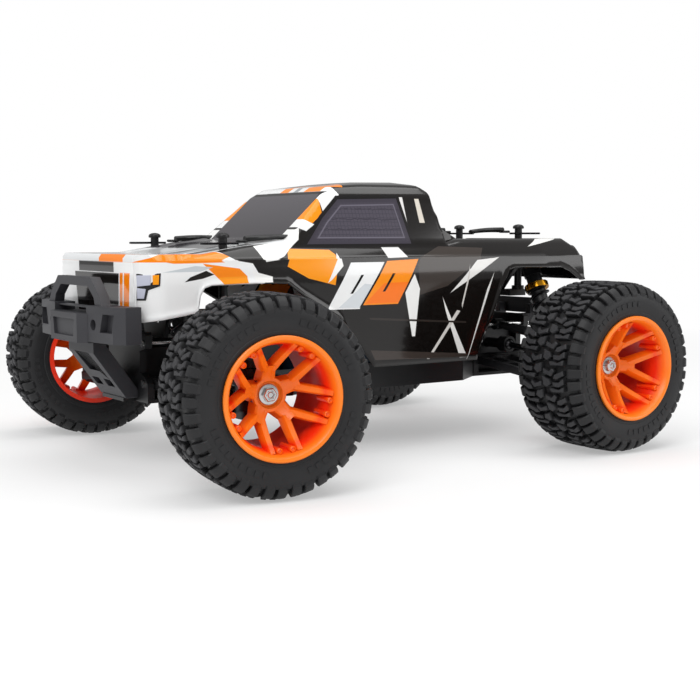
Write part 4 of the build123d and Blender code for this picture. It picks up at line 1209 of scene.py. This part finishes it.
@dataclass
class Shell:
    """The thin moulded body: one smooth skin with its wheel arches and folded edge."""

    half_width: float = 79.0
    wall: float = 1.2
    flat_half: float = 60.0
    bed_half: float = 54.5
    bed_drop: float = 7.0
    rib_at: float = 46.0
    rib_rise: float = 1.5
    roof_half: float = 30.0
    spacing: float = 3.2
    side_rows: int = 14
    columns: tuple[float, ...] = (
        0, 6, 12, 18, 24, 28, 31, 34, 37, 40, 42.5, 45, 47, 48.5, 50, 51.5, 53, 54.5, 56, 57.5, 59,
        60.5, 62, 63.5, 65, 66.5, 68, 69.5, 71, 73, 75, 77)

    def __post_init__(self) -> None:
        """Work out the outlines from the axles."""
        f, r, g = FRONT_AXLE_Y, REAR_AXLE_Y, AXLE_Z
        self.nose, self.tail = f - 48.0, r + 52.0
        self.crown = [(f - 48, g + 72.5), (f - 42, g + 76.5), (f - 7, g + 83.3), (f + 30, g + 89.2),
                      (f + 65.5, g + 93.4), (f + 85, g + 90.5), (r - 83, g + 90.5),
                      (r - 68, g + 93.5), (r + 44, g + 93.5), (r + 50, g + 88)]
        self.cab = [(f + 60, g + 84), (f + 66, g + 93.8), (f + 101, g + 125.5), (f + 109, g + 131.5),
                    (f + 143, g + 136), (r - 107, g + 137.0), (r - 93, g + 135.4), (r - 87, g + 130),
                    (r - 80.5, g + 84)]
        self.fall = [(60, g + 95.2), (66, g + 89.8), (72, g + 83.6), (77, g + 77.5)]
        self.cab_side = [(30, g + 137), (44, g + 133.5), (52, g + 125.5), (67, g + 89.5),
                         (68, g + 80)]
        self.fin = [(50, g + 108), (57, g + 107.5), (81, g + 95.5), (84, g + 84)]
        self.plan = [(f - 49, 61.5), (f - 42, 68.5), (f - 36, 73.6), (f - 7, 79), (r + 10, 79),
                     (r + 53, 76)]
        self.hem = [(f - 49, g + 40.5), (f - 45.7, g + 40.5), (f - 12.8, g + 46.2),
                    (f - 11.8, g + 57), (f - 8.5, g + 62.2), (f - 3, g + 64), (f + 32, g + 64.5),
                    (f + 56, g + 63.8), (f + 69, g + 54.7), (f + 97.2, g + 38.5),
                    (f + 105.6, g + 29.3), (f + 129, g + 1.5), (r - 61, g + 1.5),
                    (r - 38, g + 58), (r - 30, g + 70), (r - 24, g + 71.5), (r + 26, g + 71.5),
                    (r + 36, g + 68), (r + 48, g + 60.5), (r + 53, g + 60.5)]

    def top(self, x: float, y: float) -> float:
        """The height of the skin at a place.

        Args:
            x: Sideways from the middle.
            y: Along the truck.

        Returns:
            The height.
        """
        g = AXLE_Z
        out = abs(x) * self.half_width / along_line(self.plan, y)
        side = along_line(self.fall, out) if out > self.flat_half else g + 200
        crown = along_line(self.crown, y)
        dome = 1.6 * (1 - (out / 66.0) ** 2) if crown < g + 93.45 else 0.0
        ahead = y < FRONT_AXLE_Y + 60
        rib = self.rib_rise * math.exp(-((out - self.rib_at) / 7.0) ** 2) if ahead else 0.0
        body = blend_low(crown + dome * 0.4 + rib, side, 3.0)
        into = min(self.bed_half - out, y - (REAR_AXLE_Y - 71), REAR_AXLE_Y + 39 - y)
        body -= self.bed_drop * min(max(into / 2.4, 0.0), 1.0)
        flat_roof = g + 137.5 + (self.roof_half - abs(x)) * 0.05
        edge = along_line(self.cab_side, abs(x)) if abs(x) > self.roof_half else flat_roof
        cab = blend_low(along_line(self.cab, y), edge, 3.4)
        on_fin = 47.0 < abs(x) < 57.0 and y > self.fin[0][0]
        fin = along_line(self.fin, y) if on_fin else -1000.0
        return max(body, cab, fin)

    def section(self, y: float) -> list[Point]:
        """Half of one cross-section, from the middle out and down to the hem.

        Args:
            y: Where it is cut.

        Returns:
            Its points.
        """
        g = AXLE_Z
        width = along_line(self.plan, y)
        stretch = width / self.half_width
        points: list[Point] = []
        for out in self.columns:
            x = out * (1.0 + (stretch - 1.0) * min(max((out - 40) / 27, 0.0), 1.0))
            points.append((x, y, self.top(x, y)))
        high, low = min(g + 77.5, points[-1][2]), along_line(self.hem, y)
        low = min(low, high - 4.0)
        for row in range(1, self.side_rows + 1):
            z = high + (low - high) * row / self.side_rows
            out = 77 + 2 * min((high - z) / 12.0, 1.0) ** 0.6
            near = max(1 - (z - low) / 5.0, 0.0)
            flare = 1.6 * near * near if low > g + 30 else -0.8 * near
            points.append((out * stretch + flare, y, z))
        return points

    def stations(self) -> list[float]:
        """Where the shell is cut along the truck, closer at folds."""
        places = {self.nose, self.tail}
        y = self.nose
        while y < self.tail:
            places.add(y)
            y += self.spacing
        folds = [place for line in (self.crown, self.cab, self.hem) for place, _ in line]
        places.update(place for place in folds if self.nose < place < self.tail)
        kept: list[float] = []
        for place in sorted(places):
            if not kept or place - kept[-1] > 0.35:
                kept.append(place)
        return kept

    def wall_rows(self, y: float, step: float, low: float) -> list[list[Point]]:
        """The nose's or tail's upright wall, from its hem up to the first section.

        Args:
            y: Where the wall stands.
            step: How far its foot is drawn in along the truck.
            low: The height of its hem.

        Returns:
            Rows of half-sections, from the hem.
        """
        rows = []
        last = self.section(y)
        for share in (0.0, 0.12, 0.35, 0.6, 0.82, 0.94):
            row = []
            swell = math.sin(share * math.pi * 0.5)
            for x, py, z in last:
                drawn = x * (1 - 0.012 * (1 - swell))
                row.append((drawn, py + step * (0.35 + 0.65 * swell), low + (z - low) * share))
            rows.append(row)
        return rows

    def build(self) -> None:
        """Make the shell, its folded edge and its thickness."""
        halves = self.wall_rows(self.nose, -2.0, AXLE_Z + 40.5)
        halves += [self.section(y) for y in self.stations()]
        halves += list(reversed(self.wall_rows(self.tail, 1.4, AXLE_Z + 60.5)))
        rings = []
        for half in halves:
            mirrored = [(-x, y, z) for x, y, z in reversed(half[1:])]
            rings.append(mirrored + half)
        form = Form()
        form.rings(rings, closed=False, capped=False)
        piece = form.object("body_shell_skin", Finish.PAINT, 50.0)
        thick = piece.modifiers.new("wall", "SOLIDIFY")
        thick.thickness = self.wall * MM
        thick.offset = -1.0
        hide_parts("body_shell")
        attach(piece, "chassis")
        LOG.info("shell skin with %d sections", len(rings))


# ---------------------------------------------------------------- shocks
def shock_line(key: str) -> tuple[Vector, Vector]:
    """A shock's top pivot and the way down its line.

    Args:
        key: The corner's name.

    Returns:
        The pivot in millimetres and the unit direction.
    """
    top = Vector(joint(f"{key}_shock_swing")["pos_m"]) / MM
    axis = Vector(joint(f"{key}_shock_slide")["axis"]).normalized()
    return top, (-axis if axis.z > 0 else axis)


@dataclass
class Spring:
    """One wound spring between its shock's collar and cup."""

    key: str
    radius: float = 7.9
    wire: float = 0.9
    turns: int = 8
    collar: float = 27.9
    cup_rise: float = 9.9

    def build(self) -> None:
        """Wind the spring between the collar and the cup."""
        top, axis = shock_line(self.key)
        low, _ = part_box(f"{self.key}_shock_shaft")
        foot = (low.z / MM + 4.5 - top.z) / axis.z
        start, end = top + axis * self.collar, top + axis * (foot - self.cup_rise)
        along = end - start
        side = axis.cross(Vector((0, 1, 0))).normalized()
        other = axis.cross(side)
        steps = self.turns * 26
        route = []
        for step in range(steps + 1):
            share = step / steps
            closed = 0.5 / self.turns
            run = min(max((share - closed) / (1 - 2 * closed), 0.0), 1.0)
            angle = 2 * math.pi * self.turns * share
            around = side * math.cos(angle) + other * math.sin(angle)
            route.append(tuple(start + along * run + around * self.radius))
        form = Form()
        form.tube(route, self.wire, 10)
        piece = form.object(f"{self.key}_spring", Finish.SPRING, 60.0)
        tuple(start * MM)
        tuple(end * MM)
        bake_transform(piece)
        if self.key == "front_left":
            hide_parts("shock_springs")
        LOG.info("spring %s", piece.name)


@dataclass
class Collar:
    """The gold threaded collar on a shock's cylinder."""

    key: str
    drop: float = 21.95
    height: float = 5.1
    radius: float = 9.5
    bore: float = 6.3
    knurl: float = 0.22

    def build(self) -> None:
        """Turn the knurled collar about the shock's line."""
        top, axis = shock_line(self.key)
        form, sides = Form(), 48
        rim, rings = self.radius - 0.8, []
        for x, r in ((0, self.bore), (0, rim), (0.5, self.radius), (self.height - 0.5, self.radius),
                     (self.height, rim), (self.height, self.bore)):
            ring = []
            for i in range(sides):
                reach, angle = r + self.knurl * (i % 2), 2 * math.pi * i / sides
                ring.append((x, reach * math.cos(angle), reach * math.sin(angle)))
            rings.append(ring)
        form.rings(rings, looped=True)
        turn = axis.to_track_quat("X", "Z").to_matrix().to_4x4()
        turn.translation = (top + axis * self.drop) * MM
        piece = form.object(f"{self.key}_collar", Finish.GOLD, 30.0, turn)
        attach(piece, f"{self.key}_shock_body")


# ---------------------------------------------------------------- shell fittings
@dataclass
class PostFitting:
    """The rubber pull tab on a body clip and the dome on its post."""

    end: str
    hand: int
    x: float
    y: float
    top: float
    lean: float
    start: float = 17.0
    length: float = 36.0
    wire: float = 1.0
    cap: float = 4.5

    def build(self) -> None:
        """Model the tab, its loop and the post's dome."""
        name = f"{self.end}_{'left' if self.hand > 0 else 'right'}"
        turn = 1.0 if self.end == "front" else -1.0
        form = Form()
        rows = []
        for share in [i / 12 for i in range(13)]:
            run = self.start + self.length * share
            half = 2.2 + 2.6 * math.sin(min(share * 1.5, 1.0) * math.pi) ** 2 + 1.4 * share
            half = half if share < 0.97 else half * 0.6
            thick = 2.2 - 0.6 * share
            rise = 0.6 * math.sin(share * math.pi) + self.lean * share
            cx, cy = self.hand * (self.x + 2.5 * share), self.y + turn * run
            ring = []
            for i in range(10):
                a = 2 * math.pi * i / 10
                height = self.top - 4.2 + rise + thick * math.sin(a)
                ring.append((cx + half * math.cos(a), cy, height))
            rows.append(ring)
        form.rings(rows)
        loop = []
        for i in range(17):
            a = math.pi * (i / 16) * 2
            loop.append((self.hand * self.x + 3.4 * math.cos(a),
                         self.y + turn * (15 + 3.6 * math.sin(a)), self.top - 5.6))
        form.tube(loop, self.wire, 8)
        tab = form.object(f"{name}_clip_tab", Finish.RUBBER_TAB, 60.0)
        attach(tab, "chassis")
        dome = Form()
        profile = [(-3.4, 0.01), (-3.4, self.cap)]
        for step in range(6):
            a = step * math.pi / 10
            profile.append((2.2 * math.sin(a) - 2.2, self.cap * math.cos(a) + 0.02))
        dome.turned([(p[0] + 0.2, max(p[1], 0.01)) for p in profile], 28)
        place = Vector((0, 0, 1)).to_track_quat("X", "Z").to_matrix().to_4x4()
        place.translation = Vector((self.hand * self.x, self.y, self.top + 0.2)) * MM
        piece = dome.object(f"{name}_post_dome", Finish.RUBBER_TAB, 50.0, place)
        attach(piece, "chassis")


@dataclass
class Lamp:
    """One printed head lamp with its amber marker, let into the fender's front corner."""

    hand: int

    def panel(self, name: str, corners: Sequence[Flat], out: float, finish: Finish) -> None:
        """A thin formed panel standing just proud of the shell.

        Args:
            name: The piece's name.
            corners: (along, up) corners.
            out: How far it stands from the shell.
            finish: Its finish.
        """
        shell = Shell()
        rings = []
        cy = sum(p[0] for p in corners) / len(corners)
        cz = sum(p[1] for p in corners) / len(corners)
        for lift, share in ((-0.6, 1.0), (out - 0.15, 1.0), (out, 0.94)):
            ring = []
            for y, z in corners:
                py, pz = cy + (y - cy) * share, cz + (z - cz) * share
                width = along_line(shell.plan, py)
                lean = 2 * max(pz - 128, 0) / 12
                x = width * (shell.half_width - lean) / shell.half_width
                ring.append((self.hand * (x + lift), py, pz))
            rings.append(ring)
        form = Form()
        form.rings(rings)
        piece = form.object(name, finish, 20.0)
        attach(piece, "chassis")

    def build(self) -> None:
        """Model the lamp's dark frame, its two lenses and the marker."""
        side = "left" if self.hand > 0 else "right"
        self.panel(f"{side}_lamp_frame", [(-186.2, 117), (-186.2, 134.2), (-173.2, 134.6),
                                          (-174.0, 126.4), (-180.0, 123.6), (-181.2, 117)], 0.5,
                   Finish.RUBBER_TAB)
        self.panel(f"{side}_lamp_upper", [(-185.4, 126.0), (-185.4, 133.2), (-178.4, 133.4),
                                          (-179.0, 127.0)], 0.9, Finish.PRINT)
        self.panel(f"{side}_lamp_lower", [(-185.4, 118.2), (-185.4, 125.0), (-181.2, 124.4),
                                          (-182.2, 118.2)], 0.9, Finish.PRINT)
        self.panel(f"{side}_lamp_marker", [(-177.6, 127.2), (-177.4, 133.4), (-174.2, 133.5),
                                           (-174.8, 127.4)], 0.9, Finish.AMBER)


# ---------------------------------------------------------------- carried-over CAD pieces
SLOT_FINISH = {
    "tyre_rubber": Finish.TYRE, "rim_orange": Finish.RIM, "steel": Finish.STEEL,
    "suspension_plastic": Finish.NYLON, "bumper_plastic": Finish.BUMPER,
    "shock_body": Finish.NYLON, "shock_steel": Finish.STEEL, "spring_steel": Finish.SPRING,
    "shell_paint": Finish.PAINT, "drive_metal": Finish.DARK_STEEL, "motor_can": Finish.CAN,
    "battery_wrap": Finish.WRAP, "electronics_case": Finish.CASE, "gear_plastic": Finish.GEAR,
    "clip_wire": Finish.WIRE,
}


class Chassis:
    """The CAD pieces that stay, dressed, and those that get rounded edges."""

    rounded = (("front_bumper", Finish.BUMPER, 0.9, "bumper_plastic"),
               ("front_brace", Finish.BUMPER, 0.6, "bumper_plastic"),
               ("rear_bumper", Finish.BUMPER, 0.7, "bumper_plastic"),
               ("shock_towers", Finish.NYLON, 0.4, "suspension_plastic"))

    def build(self) -> None:
        """Dress every CAD node and soften the mouldings that show most."""
        for name, node in frame["nodes"].items():
            material = node.data.materials[0].name if node.data.materials else ""
            finish = next((f for slot, f in SLOT_FINISH.items() if material.startswith(slot)),
                          Finish.NYLON)
            node.data.materials.clear()
            node.data.materials.append(finish.material())
            LOG.info("node %s finished in %s", name, finish.name)
        for node, finish, width, slot in self.rounded:
            softened(node, finish, width, "chassis")
        for corner in CORNER_KEYS:
            arm = f"{corner}_lower_arm"
            softened(arm, Finish.NYLON, 0.5, arm)


# ---------------------------------------------------------------- stage
@dataclass
class Studio:
    """The pale floor, the soft lamps and the camera."""

    target: Point = (26.38, 5.85, 71.80)
    distance: float = 941.66
    azimuth: float = 55.763
    elevation: float = 5.331
    roll: float = -0.098
    lens: float = 63.62
    surround: float = 0.42
    reach: float = 4.0
    lamps: tuple[tuple[str, Point, float, float], ...] = (
        ("key", (0.9, -1.2, 1.5), 1.0, 17.0), ("over", (0.1, 0.2, 1.7), 1.6, 17.0),
        ("tail", (1.3, 1.3, 0.8), 0.9, 8.0), ("far", (-1.0, -1.4, 1.0), 1.0, 6.0))

    def lamp(self, name: str, place: Point, size: float, power: float) -> None:
        """One square soft lamp aimed at the truck.

        Args:
            name: The lamp's name.
            place: Where it hangs, in metres.
            size: Its side.
            power: Its power in watts.
        """
        light = bpy.data.lights.new(name, "AREA")
        light.size, light.energy = size, power
        made = bpy.data.objects.new(name, light)
        bpy.context.scene.collection.objects.link(made)
        made.location = place
        aim = Vector((0.0, 0.0, 0.08)) - Vector(place)
        made.rotation_euler = aim.to_track_quat("-Z", "Y").to_euler()

    def floor(self) -> None:
        """A plain pale floor that fades into the background."""
        s = Shader.named("pale_floor")
        x, y, _ = s.axes(s.place())
        away = (x * x + y * y).math("SQRT").above(0.85, 0.9)
        rays = s.node("ShaderNodeLightPath").socket.node.outputs
        eye = Wire(s, rays["Is Camera Ray"]).most(Wire(s, rays["Is Glossy Ray"]))
        cloth = s.node("ShaderNodeBsdfPrincipled",
                       inputs={"Base Color": s.mix(s.noise(3.0), tint("EDEDED"), tint("F1F1F1")),
                               "Roughness": 0.9})
        glow = s.node("ShaderNodeEmission", inputs={"Color": (1, 1, 1, 1), "Strength": 1.0})
        share = eye * (away * 0.62 + 0.38)
        s.node_out(s.node("ShaderNodeMixShader", inputs={0: share, 1: cloth, 2: glow}))
        mesh = bpy.data.meshes.new("floor")
        corners = ((-1, -1), (1, -1), (1, 1), (-1, 1))
        mesh.from_pydata([(self.reach * i, self.reach * j, 0) for i, j in corners], [],
                         [(0, 1, 2, 3)])
        mesh.materials.append(s.owner)
        made = bpy.data.objects.new("floor", mesh)
        bpy.context.scene.collection.objects.link(made)

    def world(self) -> None:
        """A white surround that lights the truck evenly."""
        world = bpy.data.worlds.new("surround")
        bpy.context.scene.world = world
        s = Shader(world)
        white = (1.0, 1.0, 1.0, 1.0)
        soft, bright = (s.node("ShaderNodeBackground", inputs={"Color": white, "Strength": power})
                        for power in (self.surround, 1.0))
        seen = s.node("ShaderNodeLightPath", output="Is Camera Ray")
        s.node_out(s.node("ShaderNodeMixShader", inputs={0: seen, 1: soft, 2: bright}))

    def camera(self) -> None:
        """The camera at the front left corner, low."""
        a, e = math.radians(self.azimuth), math.radians(self.elevation)
        back = Vector((math.sin(a) * math.cos(e), -math.cos(a) * math.cos(e), math.sin(e)))
        data = bpy.data.cameras.new("camera")
        data.lens, data.sensor_width = self.lens, 36.0
        data.clip_start = 0.01
        made = bpy.data.objects.new("camera", data)
        bpy.context.scene.collection.objects.link(made)
        aim = (-back).to_track_quat("-Z", "Y").to_matrix().to_4x4()
        aim = aim @ Matrix.Rotation(math.radians(self.roll), 4, "Z")
        aim.translation = (Vector(self.target) + back * self.distance) * MM
        made.matrix_world = aim
        bpy.context.scene.camera = made

    def build(self) -> None:
        """Set the stage."""
        bpy.context.scene.view_settings.view_transform = "Standard"
        self.world()
        self.floor()
        for name, place, size, power in self.lamps:
            self.lamp(name, place, size, power)
        self.camera()


def post_fittings() -> list[PostFitting]:
    """The four posts' fittings at the places that the frame gives."""
    g = AXLE_Z
    front, rear = FRONT_AXLE_Y + 19.8, REAR_AXLE_Y + 16.0
    return [PostFitting("front", 1, 53.5, front, g + 97.9, 1.6),
            PostFitting("front", -1, 53.5, front, g + 97.9, 1.0),
            PostFitting("rear", 1, 38.0, rear, g + 104.5, -1.5),
            PostFitting("rear", -1, 38.0, rear, g + 104.5, -1.5)]


def main() -> None:
    """Build the truck's looks in order."""
    logging.basicConfig(level=logging.INFO)
    Studio().build()
    Chassis().build()
    Wheels().build()
    Shell().build()
    for corner in CORNER_KEYS:
        Spring(corner).build()
        Collar(corner).build()
    for fitting in post_fittings():
        fitting.build()
    for hand in (1, -1):
        Lamp(hand).build()


if __name__ == "__main__":
    main()
